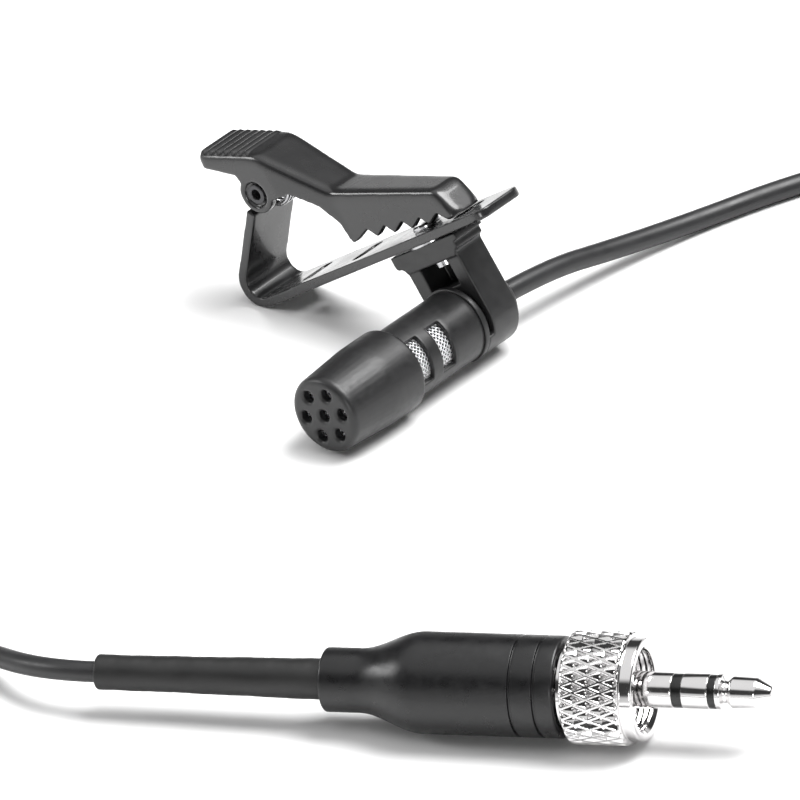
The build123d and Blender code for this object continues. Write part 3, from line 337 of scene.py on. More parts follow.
def lathe(outline: np.ndarray, segments: int = 128, closed: bool = True,
          radius_of: Callable[[np.ndarray, np.ndarray, np.ndarray], np.ndarray] | None = None) -> Shape:
    """Turn an outline about the local Y axis.

    A point (r, y) at angle a becomes (r sin a, y, r cos a). Where the outline is open its two ends
    close in a fan about the axis.

    Args:
        outline: (radius, along) points.
        segments: Steps round the axis.
        closed: Whether the outline is a closed loop, as for a tube.
        radius_of: Changes the radius, given radius, place along and angle.

    Returns:
        The turned shape.
    """
    angle = np.linspace(0, 2 * math.pi, segments, endpoint=False)[None, :]
    radius, along = outline[:, :1] + 0 * angle, outline[:, 1:] + 0 * angle
    angle = angle + 0 * radius
    if radius_of is not None:
        radius = radius_of(radius, along, angle)
    points = np.stack([radius * np.sin(angle), along, radius * np.cos(angle)], -1).reshape(-1, 3)
    quads = grid_quads(len(outline), segments, closed, True)
    if closed:
        return Shape(points, quads).outward()
    ends = np.array([[0, outline[0, 1], 0], [0, outline[-1, 1], 0]])
    first, last = len(points), len(points) + 1
    here = np.arange(segments)
    there = (here + 1) % segments
    top = (len(outline) - 1) * segments
    fans = np.vstack([np.stack([there, here, here * 0 + first], -1),
                      np.stack([here + top, there + top, here * 0 + last], -1)])
    return Shape(np.vstack([points, ends]), quads, fans.tolist()).outward()


def wires(lines: np.ndarray, radius: float, normal: np.ndarray, sides: int = 6) -> Shape:
    """Round wires along several lines of equally many points.

    Each section is a circle in the plane of the surface normal and the side direction, which is
    the cross product of the line's direction and that normal.

    Args:
        lines: Array of lines by points by three.
        radius: Radius of the wire.
        normal: Surface normal at each point, of the same form as lines.
        sides: Corners of a section.

    Returns:
        The wires as one shape with closed ends.
    """
    tangent = np.gradient(lines, axis=1)
    tangent /= np.linalg.norm(tangent, axis=-1, keepdims=True)
    side = np.cross(tangent, normal)
    side /= np.linalg.norm(side, axis=-1, keepdims=True)
    up = np.cross(side, tangent)
    angle = np.linspace(0, 2 * math.pi, sides, endpoint=False)[:, None]
    ring = lines[:, :, None] + radius * (np.cos(angle) * side[:, :, None] + np.sin(angle) * up[:, :, None])
    count, length = lines.shape[:2]
    quads = grid_quads(length, sides, False, True)
    start = (np.arange(count) * length * sides)[:, None, None]
    ends: list[list[int]] = []
    for line in range(count):
        low = line * length * sides
        high = low + (length - 1) * sides
        ends += [list(range(low + sides - 1, low - 1, -1)), list(range(high, high + sides))]
    return Shape(ring.reshape(-1, 3), (quads[None] + start).reshape(-1, 4), ends).outward()


# ====================================================================== places
class Axes:
    """A sub-assembly's own axes in the frame of the part."""

    def __init__(self, origin: np.ndarray, x: np.ndarray, y: np.ndarray, z: np.ndarray) -> None:
        """Keep an origin in metres and three unit directions.

        Args:
            origin: Where the axes start.
            x: First direction.
            y: Second direction.
            z: Third direction.
        """
        self.origin = np.array(origin, float)
        self.turn = np.stack([x, y, z], 0).astype(float)

    def place(self, points: np.ndarray) -> np.ndarray:
        """Own millimetres to the frame's metres."""
        return self.origin + points * MM @ self.turn

    def take(self, points: np.ndarray) -> np.ndarray:
        """The frame's metres to own millimetres."""
        return (points - self.origin) @ self.turn.T / MM


def microphone_axes() -> Axes:
    """Axes of the microphone: Y along it from its front face, from the cap's box.

    Returns:
        The microphone's axes.
    """
    low, high = (np.array(corner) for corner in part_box("mic_cap"))
    middle = (low + high) / 2
    return Axes(np.array([middle[0], low[1], middle[2]]), *np.eye(3))


def joint(frame: dict, name: str) -> dict:
    """The joint of that name."""
    return next(item for item in frame["joints"] if item["name"] == name)


def clip_axes(frame: dict, along: float, across: float) -> Axes:
    """Axes of the clip: X along the jaw, Z out of its upper face, from the swivel's place.

    Args:
        along: Swivel's place along the jaw.
        across: Swivel's place across the jaw.

    Returns:
        The clip's axes.
    """
    swivel = joint(frame, "clip_swivel")
    z = np.array(swivel["axis"], float)
    z /= np.linalg.norm(z)
    y = np.array((0.0, 1.0, 0.0))
    x = np.cross(y, z)
    return Axes(np.array(swivel["pos_m"]) - (x * along + y * across) * MM, x, y, z)


def plug_axes(frame: dict, pin_middle: float) -> Axes:
    """Axes of the plug: Y along it from the rear of its relief sleeve, from the contact's mount.

    Args:
        pin_middle: The mount's place along the plug, mm.

    Returns:
        The plug's axes.
    """
    pin = next(mount for mount in frame["record"]["mounts"] if mount["name"] == "jack_pin")
    y = np.array(pin["axis"], float)
    y /= np.linalg.norm(y)
    x = np.cross(y, (0, 0, 1.0))
    x /= np.linalg.norm(x)
    return Axes(np.array(pin["pos_m"]) - y * pin_middle * MM, x, y, np.cross(x, y))


# ====================================================================== pieces
def new_piece(name: str, shape: Shape, axes: Axes, finish: Finish, body: Body, stands_for: Sequence[str],
              crease: float = 40.0) -> bpy.types.Object:
    """Make an object from a shape, dress it and let it ride.

    Args:
        name: Name of the piece.
        shape: What it looks like in its own axes.
        axes: Where those axes are.
        finish: Its finish.
        body: The body it moves with.
        stands_for: CAD nodes that it replaces.
        crease: Edges sharper than this many degrees stay sharp.

    Returns:
        The object, at the origin.
    """
    mesh = bpy.data.meshes.new(name)
    mesh.from_pydata(axes.place(shape.vertices).tolist(), [], shape.quads.tolist() + shape.others)
    mesh.validate()
    return finish_piece(name, mesh, finish, body, stands_for, crease)


def finish_piece(name: str, mesh: bpy.types.Mesh, finish: Finish, body: Body, stands_for: Sequence[str],
                 crease: float) -> bpy.types.Object:
    """Give a mesh its shading, finish, body and the nodes that it replaces.

    Args:
        name: Name of the piece.
        mesh: Its mesh, in the frame of the part.
        finish: Its finish.
        body: The body it moves with.
        stands_for: CAD nodes that it replaces.
        crease: Edges sharper than this many degrees stay sharp.

    Returns:
        The object, at the origin.
    """
    mesh.polygons.foreach_set("use_smooth", np.ones(len(mesh.polygons), bool))
    mesh.set_sharp_from_angle(angle=math.radians(crease))
    made = bpy.data.objects.new(name, mesh)
    bpy.context.scene.collection.objects.link(made)
    mesh.materials.append(finish.material())
    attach(made, body.value)
    if stands_for:
        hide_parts(*stands_for)
    LOG.info("piece %s: %d faces", name, len(mesh.polygons))
    return made


def node_arrays(node: str) -> tuple[np.ndarray, np.ndarray]:
    """Merged mesh of a CAD node: corners at one place become one vertex.

    Args:
        node: The CAD node.

    Returns:
        Its vertices in metres and the three corner numbers of each triangle.
    """
    mesh = bpy.data.objects[node].data
    mesh.calc_loop_triangles()
    points = np.empty(len(mesh.vertices) * 3, np.float32)
    mesh.vertices.foreach_get("co", points)
    corners = np.empty(len(mesh.loop_triangles) * 3, np.int32)
    mesh.loop_triangles.foreach_get("vertices", corners)
    keys = np.round(points.reshape(-1, 3) / 5e-7).astype(np.int64)
    _, first, same = np.unique(keys, axis=0, return_index=True, return_inverse=True)
    triangles = same.reshape(-1)[corners].reshape(-1, 3)
    whole = ((triangles[:, 0] != triangles[:, 1]) & (triangles[:, 1] != triangles[:, 2])
             & (triangles[:, 2] != triangles[:, 0]))
    return points.reshape(-1, 3)[first].astype(float), triangles[whole]


def merged_piece(name: str, node: str, finish: Finish, body: Body, crease: float = 35.0) -> bpy.types.Object:
    """A CAD node's own shape with joined corners, so that its round faces are shaded smooth.

    Args:
        name: Name of the piece.
        node: The CAD node that it is made from and replaces.
        finish: Its finish.
        body: The body it moves with.
        crease: Edges sharper than this many degrees stay sharp.

    Returns:
        The object, at the origin.
    """
    points, triangles = node_arrays(node)
    mesh = bpy.data.meshes.new(name)
    mesh.from_pydata(points.tolist(), [], triangles.tolist())
    mesh.validate()
    return finish_piece(name, mesh, finish, body, [node], crease)


@dataclass(frozen=True)
class Softening:
    """How a moulded, cast or stamped piece loses its sharp edges.

    Attributes:
        pitch: Spacing of the even mesh that is laid over the shape, mm.
        passes: Rounds of averaging.
        weight: Share of each round that a vertex takes, given its place in its own axes.
        relief: Moves each vertex once more when the edges are round, given its place.
    """

    pitch: float
    passes: int
    weight: Callable[[np.ndarray], np.ndarray] | None = None
    relief: Callable[[np.ndarray], np.ndarray] | None = None


def softened_piece(name: str, node: str, axes: Axes, softening: Softening, finish: Finish,
                   body: Body) -> bpy.types.Object:
    """A CAD node under an even mesh whose edges are rounded by averaging.

    Each pass moves a vertex towards the mean of its neighbours by half of the difference, times
    its weight, so that an edge becomes a round whose radius grows with the root of the passes.

    Args:
        name: Name of the piece.
        node: The CAD node that it is made from and replaces.
        axes: Axes in which the node's main faces are level.
        softening: Mesh spacing and averaging.
        finish: Its finish.
        body: The body it moves with.

    Returns:
        The object, at the origin.
    """
    points, triangles = node_arrays(node)
    rough = bpy.data.meshes.new(name + "_rough")
    rough.from_pydata(axes.take(points).tolist(), [], triangles.tolist())
    holder = bpy.data.objects.new(name + "_rough", rough)
    bpy.context.scene.collection.objects.link(holder)
    modifier = holder.modifiers.new("even", "REMESH")
    modifier.mode = "VOXEL"
    modifier.voxel_size = softening.pitch
    graph = bpy.context.evaluated_depsgraph_get()
    mesh = bpy.data.meshes.new_from_object(holder.evaluated_get(graph), depsgraph=graph)
    bpy.data.objects.remove(holder)
    bpy.data.meshes.remove(rough)
    mesh.name = name
    count = len(mesh.vertices)
    flat = np.empty(count * 3, np.float32)
    mesh.vertices.foreach_get("co", flat)
    places = flat.reshape(-1, 3).astype(float)
    edges = np.empty(len(mesh.edges) * 2, np.int32)
    mesh.edges.foreach_get("vertices", edges)
    one, two = edges.reshape(-1, 2).T
    degree = np.maximum(np.bincount(one, minlength=count) + np.bincount(two, minlength=count), 1)[:, None]
    weight = np.ones(count) if softening.weight is None else softening.weight(places)
    for _ in range(softening.passes):
        total = np.stack([np.bincount(one, places[two, k], count) + np.bincount(two, places[one, k], count)
                          for k in range(3)], -1)
        places += 0.5 * weight[:, None] * (total / degree - places)
    if softening.relief is not None:
        places = places + softening.relief(places)
    mesh.vertices.foreach_set("co", axes.place(places).astype(np.float32).ravel())
    mesh.update()
    return finish_piece(name, mesh, finish, body, [node], 180.0)


def dress_node(node: str, finish: Finish) -> None:
    """Give a CAD node that stays as it is a finish in its own material slots.

    Args:
        node: The CAD node.
        finish: Its finish.
    """
    mesh = bpy.data.objects[node].data
    mesh.materials.clear()
    mesh.materials.append(finish.material())
    LOG.info("node %s dressed", node)


# ====================================================================== camera
@dataclass(frozen=True)
class Studio:
    """Camera, pale floor and soft lights.

    Attributes:
        azimuth: Which way the camera looks, degrees from +Y towards -X.
        elevation: How far above the level it stands, degrees.
        roll: How far the picture leans, degrees.
        distance: From the camera to the point it aims at, mm.
        width: What the picture takes in at that point, mm.
        aim: The point it aims at, mm.
    """

    azimuth: float = 42.0
    elevation: float = 28.4
    roll: float = 6.66
    distance: float = 3000.0
    width: float = 77.7
    aim: tuple[float, float, float] = (10.0, 1.1, -1.7)
    sensor: float = 36.0

    def camera(self) -> bpy.types.Object:
        """Place the camera on its line through the aim and turn it by its roll.

        Returns:
            The camera, which is the scene's own from then on.
        """
        a, e, r = (math.radians(value) for value in (self.azimuth, self.elevation, self.roll))
        back = Vector((math.sin(a) * math.cos(e), -math.cos(a) * math.cos(e), math.sin(e)))
        level = Vector((math.cos(a), math.sin(a), 0))
        upright = back.cross(level)
        right = level * math.cos(r) - upright * math.sin(r)
        data = bpy.data.cameras.new("camera")
        data.sensor_width = self.sensor
        data.lens = self.sensor * self.distance / self.width
        data.clip_start, data.clip_end = 0.05, 20.0
        camera = bpy.data.objects.new("camera", data)
        bpy.context.scene.collection.objects.link(camera)
        turn = Matrix((right, back.cross(right), back)).transposed().to_4x4()
        camera.matrix_world = Matrix.Translation((Vector(self.aim) + back * self.distance) * MM) @ turn
        bpy.context.scene.camera = camera
        return camera

    def floor(self) -> None:
        """A wide pale floor just under the part."""
        mesh = bpy.data.meshes.new("floor")
        half = 3.0
        mesh.from_pydata([(-half, -half, 0), (half, -half, 0), (half, half, 0), (-half, half, 0)], [],
                         [(0, 1, 2, 3)])
        material = bpy.data.materials.new("floor_paper")
        material.use_nodes = True
        shader = material.node_tree.nodes["Principled BSDF"]
        shader.inputs["Base Color"].default_value = (0.84, 0.84, 0.84, 1)
        shader.inputs["Roughness"].default_value = 0.9
        shader.inputs["Specular IOR Level"].default_value = 0.1
        mesh.materials.append(material)
        floor = bpy.data.objects.new("floor", mesh)
        bpy.context.scene.collection.objects.link(floor)

    def light(self, name: str, place: tuple[float, float, float], size: float, power: float) -> None:
        """One square soft light that faces the middle of the part.

        Args:
            name: Name of the light.
            place: Where it hangs, m.
            size: Side of its square, m.
            power: Watts.
        """
        data = bpy.data.lights.new(name, "AREA")
        data.size = size
        data.energy = power
        lamp = bpy.data.objects.new(name, data)
        bpy.context.scene.collection.objects.link(lamp)
        lamp.location = place
        lamp.rotation_euler = (-Vector(place)).to_track_quat("-Z", "Y").to_euler()

    def surround(self) -> None:
        """A studio tent: white above and below a darker band at a middle height, all the way round.

        The band gives polished metal its dark line. Seen directly, the tent is plain and pale.
        """
        world = bpy.data.worlds.new("surround")
        world.use_nodes = True
        tree = world.node_tree
        place = tree.nodes.new("ShaderNodeTexCoord").outputs["Generated"]
        parts = tree.nodes.new("ShaderNodeSeparateXYZ")
        tree.links.new(place, parts.inputs["Vector"])
        ramp = tree.nodes.new("ShaderNodeValToRGB")
        tree.links.new(parts.outputs["Z"], ramp.inputs["Fac"])
        stops = ramp.color_ramp.elements
        stops[0].position, stops[0].color = 0.0, (0.8, 0.8, 0.8, 1)
        stops[1].position, stops[1].color = 1.0, (1.0, 1.0, 1.0, 1)
        for position, grey in ((0.16, 0.75), (0.26, 0.05), (0.66, 0.05), (0.78, 0.95)):
            stop = stops.new(position)
            stop.color = (grey, grey, grey, 1)
        direct = tree.nodes.new("ShaderNodeMix")
        direct.data_type = "RGBA"
        seen_directly = tree.nodes.new("ShaderNodeLightPath").outputs["Is Camera Ray"]
        tree.links.new(seen_directly, direct.inputs["Factor"])
        tree.links.new(ramp.outputs["Color"], direct.inputs["A"])
        direct.inputs["B"].default_value = (0.93, 0.93, 0.93, 1)
        tree.links.new(direct.outputs["Result"], tree.nodes["Background"].inputs["Color"])
        bpy.context.scene.world = world

    def build(self) -> None:
        """Camera, floor, surround and three soft lights."""
        self.camera()
        self.floor()
        self.surround()
        bpy.context.scene.view_settings.view_transform = "Standard"
        self.light("top_light", (0.3, 0.3, 0.85), 0.6, 15.0)
        self.light("side_light", (-0.7, -0.5, 0.45), 0.3, 3.0)
        self.light("front_light", (0.6, -0.9, 0.25), 0.25, 2.0)


# ====================================================================== cord
@dataclass
class Cord:
    """The thin cord: out of the microphone, into a tied coil and round to the plug.

    Attributes:
        diameter: Of the jacket, mm.
        length: Real length, mm; not used.
        centre: Middle of the coil.
        outer: Radius of the outermost turns.
        inner: Radius of the innermost turn.
        entry: Where the cord joins the coil, degrees.
        turns: Turns of the coil; half of them wind in on the lower layer and half out on the upper.
        low: Height of the lower layer's middle.
        rise: From the lower layer to the upper.
        a_turn: Points on each turn.
    """

    diameter: float = 2.1
    length: float = 1225.0
    centre: tuple[float, float] = (51.5, 48.2)
    outer: float = 18.0
    inner: float = 6.0
    entry: float = 97.9
    turns: float = 11.205
    low: float = 1.55
    rise: float = 1.9
    a_turn: int = 18
    lead: tuple[tuple[float, float, float], ...] = (
        (13.6, 20.7, 4.25), (14.4, 29.2, 2.4), (16.4, 39.2, 1.1), (20.0, 49.2, 1.06),
        (25.0, 58.2, 1.06), (36.5, 64.3, 1.2))
    back: tuple[tuple[float, float, float], ...] = (
        (73.0, 44.2, 2.6), (78.5, 28.2, 1.15), (86.5, 2.2, 1.06), (102.5, -27.8, 1.06),
        (118.5, -50.8, 1.06), (113.5, -68.8, 1.06), (89.5, -80.8, 1.06), (57.5, -92.8, 1.06),
        (31.5, -97.8, 1.06), (13.5, -95.8, 1.06), (1.5, -90.3, 1.06), (-7.5, -80.8, 1.06),
        (-5.0, -67.8, 1.06), (8.0, -61.3, 1.2))
    plug_run: float = 6.0

    def coil(self) -> np.ndarray:
        """Points of the coil's turns.

        The angle falls evenly. The radius falls evenly to the inner one at half of the turns and
        grows back, and the height eases from the lower layer to the upper over the innermost turn.
        A control point stands outside the curve by the secant of half its step.

        Returns:
            An array of points, mm.
        """
        turn = np.linspace(0, self.turns, int(self.turns * self.a_turn) + 1)
        half = self.turns / 2
        radius = self.inner + (self.outer - self.inner) * np.abs(turn - half) / half
        ease = np.clip((turn - half) / 1.0 + 0.5, 0, 1)
        height = self.low + self.rise * ease * ease * (3 - 2 * ease)
        angle = math.radians(self.entry) - 2 * math.pi * turn
        radius = radius / math.cos(math.pi / self.a_turn)
        return np.stack([self.centre[0] + radius * np.cos(angle), self.centre[1] + radius * np.sin(angle),
                         height], -1)

    def build(self, tail: np.ndarray, plug: Axes, with_pieces: Sequence[str]) -> bpy.types.Object:
        """Lay the cord along its route as one smooth curve.

        Args:
            tail: Where it leaves the microphone, m.
            plug: Axes of the plug.
            with_pieces: Names of the pieces that hang on it; not used.

        Returns:
            The cord.
        """
        ends = plug.place(np.array([[0, -self.plug_run, 0], [0, 0, 0]], float))
        line = np.vstack([tail[None], np.array(self.lead) * MM, self.coil() * MM,
                          np.array(self.back) * MM, ends])
        curve = bpy.data.curves.new("cord", "CURVE")
        curve.dimensions = "3D"
        spline = curve.splines.new("NURBS")
        spline.points.add(len(line) - 1)
        spline.points.foreach_set("co", np.hstack([line, np.ones((len(line), 1))]).ravel())
        spline.order_u = 3
        spline.use_endpoint_u = True
        spline.resolution_u = 8
        curve.bevel_depth = self.diameter / 2 * MM
        curve.bevel_resolution = 4
        curve.use_fill_caps = True
        curve.materials.append(JACKET.material())
        cord = bpy.data.objects.new("cord", curve)
        bpy.context.scene.collection.objects.link(cord)
        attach(cord, Body.MICROPHONE.value)
        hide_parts("cord_lead", "cord_coil", "cord_return")
        LOG.info("cord: %d points", len(line))
        return cord


# ====================================================================== microphone
@dataclass
class Microphone:
    """The turned microphone with its slotted body and its woven wire."""

    axes: Axes
    body_start: float = 7.31
    body_end: float = 21.0
    body_radius: float = 3.75
    wall: float = 0.55
    flange_start: float = 20.4
    flange_radius: float = 3.95
    slot_width: float = 1.9
    slot_span: float = 78.0
    slot_turn: float = -8.0
    slot_middles: tuple[float, float] = (11.6, 15.0)
    slot_steps: int = 39
    solid_steps: int = 51
    length_steps: int = 8
    edge_width: float = 0.08
    edge_angle: float = 50.0
    edge_round: float = 0.12
    weave_radius: float = 3.06
    weave_wires: int = 38
    weave_wire: float = 0.075
    weave_swing: float = 0.05
    weave_past_slot: float = 1.9
    weave_points: int = 115
    disc_from_face: float = 1.11
    disc_radius: float = 3.25
    disc_pitch: float = 0.36
    disc_half_count: int = 8
    disc_wire: float = 0.055
    disc_swing: float = 0.045
    disc_points: int = 80

    def body_tube(self, slope: float) -> bpy.types.Object:
        """Slotted tube: a grid of angle by length whose quads inside a slot are left out.

        Args:
            slope: Slope of the jaw, degrees, which the slots are turned with.

        Returns:
            The tube, with a Solidify modifier that gives its wall and a Bevel modifier on its edges.
        """
        half = self.slot_span / 2
        start = np.array([slope + self.slot_turn - half, slope + self.slot_turn + 180 - half])
        opening = np.linspace(0, self.slot_span, self.slot_steps, endpoint=False)
        solid = np.linspace(self.slot_span, 180, self.solid_steps, endpoint=False)
        half_turn = np.concatenate([opening, solid])
        angles = np.concatenate([half_turn + start[0], half_turn + start[1]])
        stops = [self.body_start]
        for middle in self.slot_middles:
            stops += [middle - self.slot_width / 2, middle + self.slot_width / 2]
        stops.append(self.flange_start)
        lengths = np.concatenate([np.linspace(a, b, self.length_steps, endpoint=False)
                                  for a, b in zip(stops, stops[1:])] + [stops[-1:]])
        turn, along = np.meshgrid(np.radians(angles), lengths, indexing="ij")
        points = np.stack([self.body_radius * np.cos(turn), along, self.body_radius * np.sin(turn)], -1)
        quads = grid_quads(len(angles), len(lengths), True, False)
        cells = len(lengths) - 1
        row, column = np.divmod(np.arange(len(quads)), cells)
        in_span = (row % len(half_turn)) < self.slot_steps
        middle = (lengths[:-1] + lengths[1:])[column] / 2
        in_slot = np.zeros(len(quads), bool)
        for place in self.slot_middles:
            in_slot |= np.abs(middle - place) < self.slot_width / 2
        shape = Shape(points.reshape(-1, 3), quads[~(in_span & in_slot)])
        a, b, c = (shape.vertices[shape.quads[:, k]] for k in range(3))
        facing = (np.cross(b - a, c - a) * (a * (1, 0, 1))).sum()
        if facing < 0:
            shape.quads = shape.quads[:, ::-1]
        made = new_piece("mic_body_shell", shape, self.axes, MOULDING, Body.MICROPHONE, ["mic_body"])
        wall = made.modifiers.new("wall", "SOLIDIFY")
        wall.thickness = self.wall * MM
        wall.offset = -1
        edge = made.modifiers.new("edge", "BEVEL")
        edge.width = self.edge_width * MM
        edge.segments = 2
        edge.limit_method = "ANGLE"
        edge.angle_limit = math.radians(self.edge_angle)
        return made

    def flange(self) -> None:
        """Thin turned flange at the rear of the body."""
        bore = self.body_radius - self.wall
        outline = rounded([(bore, self.flange_start, 0),
                           (self.flange_radius, self.flange_start, self.edge_round),
                           (self.flange_radius, self.body_end, self.edge_round), (bore, self.body_end, 0)])
        new_piece("mic_body_flange", lathe(outline, 160), self.axes, MOULDING, Body.MICROPHONE, [])

    def woven_tube(self) -> None:
        """Woven tube behind the slots: two families of helices that pass over and under.

        A wire's radius is the middle one plus or minus the swing times the cosine of the wire
        count times its turned angle, so that the two families cross on opposite sides.
        """
        low = self.slot_middles[0] - self.weave_past_slot
        high = self.slot_middles[1] + self.weave_past_slot
        sweep = np.linspace(0, (high - low) / self.weave_radius, self.weave_points)
        along = low + sweep * self.weave_radius
        shape: Shape | None = None
        for side in (1, -1):
            start = np.arange(self.weave_wires)[:, None] * 2 * math.pi / self.weave_wires
            turn = start + side * sweep[None]
            swing = side * self.weave_swing * np.cos(self.weave_wires * sweep)[None] + 0 * turn
            out = np.stack([np.cos(turn), 0 * turn, np.sin(turn)], -1)
            lines = out * (self.weave_radius + swing)[..., None]
            lines[..., 1] = along
            family = wires(lines, self.weave_wire, out, 5)
            shape = family if shape is None else shape.joined(family)
        new_piece("body_weave", shape, self.axes, MESH, Body.MICROPHONE, ["body_mesh"], 180)

    def woven_disc(self) -> None:
        """Woven disc behind the holes: straight wires both ways, each waving over and under."""
        numbers = np.arange(-self.disc_half_count, self.disc_half_count + 1)
        steps = numbers * self.disc_pitch
        reach = np.sqrt(self.disc_radius ** 2 - steps ** 2)
        share = np.linspace(-1, 1, self.disc_points)
        shape: Shape | None = None
        for side in (1, -1):
            run = reach[:, None] * share[None]
            wave = side * self.disc_swing * np.cos(math.pi * (run / self.disc_pitch + numbers[:, None]))
            across = steps[:, None] + 0 * run
            first, second = (run, across) if side > 0 else (across, run)
            lines = np.stack([first, self.disc_from_face + wave, second], -1)
            normal = np.zeros_like(lines)
            normal[..., 1] = 1
            family = wires(lines, self.disc_wire, normal, 6)
            shape = family if shape is None else shape.joined(family)
        new_piece("cap_weave", shape, self.axes, MESH, Body.MICROPHONE, ["cap_mesh"], 180)

    def build(self, slope: float) -> None:
        """Build and dress the microphone.

        Args:
            slope: Slope of the jaw, degrees.
        """
        softened_piece("mic_cap_shell", "mic_cap", self.axes, Softening(0.1, 4), MOULDING, Body.MICROPHONE)
        self.body_tube(slope)
        self.flange()
        self.woven_tube()
        self.woven_disc()
        merged_piece("mic_tail_turned", "mic_tail", MOULDING, Body.MICROPHONE)
        merged_piece("tail_bush", "tail_grommet", RUBBER, Body.MICROPHONE)
        for node, finish in (("capsule_spacer", FELT), ("capsule_can", CAPSULE), ("capsule_gasket", RUBBER),
                             ("capsule_board", BOARD), ("cord_clamp", CAPSULE), ("inner_leads", LEAD)):
            dress_node(node, finish)


# ====================================================================== holder and clip
@dataclass
class Clip:
    """Holder, stamped jaw, cast lever, spring and their rivets."""

    axes: Axes
    middle: float = 3.25
    top: tuple[tuple[float, float], ...] = ((-3.3, 15.9), (4.6, 13.4), (10.95, 7.2), (24.2, 3.3), (25.4, 0.1))
    half_widths: tuple[tuple[float, float], ...] = ((4.6, 3.15), (10.95, 2.4), (24.2, 2.05))
    pivot: tuple[float, float] = (2.2, 9.75)
    pin_radius: float = 0.75
    pin_head: float = 1.02
    pin_bore: float = 0.55
    pin_low: float = 0.2
    pin_bore_depth: float = 1.65
    pin_head_thickness: float = 0.25
    pin_round: float = 0.12
    ridge_start: float = -2.75
    ridge_end: float = 3.7
    ridge_pitch: float = 0.92
    ridge_height: float = 0.26

    def pivot_rivet(self) -> None:
        """Hollow rivet of the pivot: a shank between two sunk heads with rolled rims round a bore."""
        low, thickness, edge = self.pin_low, self.pin_head_thickness, self.pin_round
        half = rounded([(self.pin_bore, low + self.pin_bore_depth, 0), (self.pin_bore, low, 0.1),
                        (self.pin_head, low, edge), (self.pin_head, low + thickness, 0.03),
                        (self.pin_radius, low + thickness, 0.02), (self.pin_radius, self.middle, 0)], False)
        mirror = half[::-1] * (1, -1) + (0, 2 * self.middle)
        outline = np.vstack([half, mirror[1:]])
        place = Axes(self.axes.place(np.array([[self.pivot[0], 0, self.pivot[1]]]))[0], *self.axes.turn)
        new_piece("pivot_rivet", lathe(outline, 64, closed=False), place, RIVET, Body.LEVER, ["pivot_pin"])

    def under_top(self, places: np.ndarray) -> np.ndarray:
        """How far each place lies under the lever's upper outline."""
        outline = np.array(self.top)
        return np.interp(places[:, 0], outline[:, 0], outline[:, 1]) - places[:, 2]

    def half_width(self, places: np.ndarray) -> np.ndarray:
        """Half of the lever's width at each place along it."""
        along, width = np.array(self.half_widths).T
        return np.interp(places[:, 0], along, width)

    def lever_weight(self, places: np.ndarray) -> np.ndarray:
        """How much a vertex of the lever is averaged: fully near its upper edges and its nose.

        The share falls from one to a small rest with the greater of two distances, the one under
        the upper outline and the one from a side. It is one on the ridged pad and at the nose too.
        The small rest keeps the teeth.

        Args:
            places: Places in the clip's axes, mm.

        Returns:
            The share at each place, between 0 and 1.
        """
        side = self.half_width(places) - np.abs(places[:, 1] - self.middle)
        under = self.under_top(places)
        near = np.clip(1.6 - np.maximum(under, side) / 0.9, 0, 1)
        pad = np.clip((self.ridge_end + 1 - places[:, 0]) * 2, 0, 1) * np.clip(1.5 - under / 0.5, 0, 1)
        nose = np.clip((places[:, 0] - 23.6) / 0.6, 0, 1) * np.clip((places[:, 2] - 1.2) / 0.8, 0, 1)
        return 0.055 + 0.945 * np.maximum(np.maximum(near, pad), nose)

    def ridges(self, places: np.ndarray) -> np.ndarray:
        """Raise the pad's cross ridges: half sine waves along the pad, faded out at their ends.

        Args:
            places: Places in the clip's axes, mm.

        Returns:
            How far each place moves, mm.
        """
        run = places[:, 0] - self.ridge_start
        inside = np.clip(run / 0.2, 0, 1) * np.clip((self.ridge_end - places[:, 0]) / 0.2, 0, 1)
        side = self.half_width(places) - np.abs(places[:, 1] - self.middle)
        inside = inside * np.clip((side - 0.35) / 0.35, 0, 1)
        inside = inside * np.clip(1.6 - self.under_top(places) / 0.5, 0, 1)
        wave = np.abs(np.sin(math.pi * run / self.ridge_pitch)) ** 0.8
        move = np.zeros_like(places)
        move[:, 2] = self.ridge_height * (wave - 0.25) * inside
        return move

    def build(self) -> None:
        """Build and dress the holder and the clip."""
        softened_piece("holder_moulding", "mic_holder", self.axes, Softening(0.085, 7), HOLDER, Body.HOLDER)
        softened_piece("jaw_sheet", "lower_jaw", self.axes, Softening(0.1, 9), PAINT, Body.CLIP)
        casting = Softening(0.1, 130, self.lever_weight, self.ridges)
        softened_piece("lever_casting", "upper_lever", self.axes, casting, PAINT, Body.LEVER)
        self.pivot_rivet()
        merged_piece("spring_wire", "torsion_spring", SPRING, Body.CLIP, 180)
        merged_piece("swivel_rivet_turned", "swivel_rivet", SPRING, Body.HOLDER)
        merged_piece("swivel_spring_washer", "swivel_washer", SPRING, Body.HOLDER)


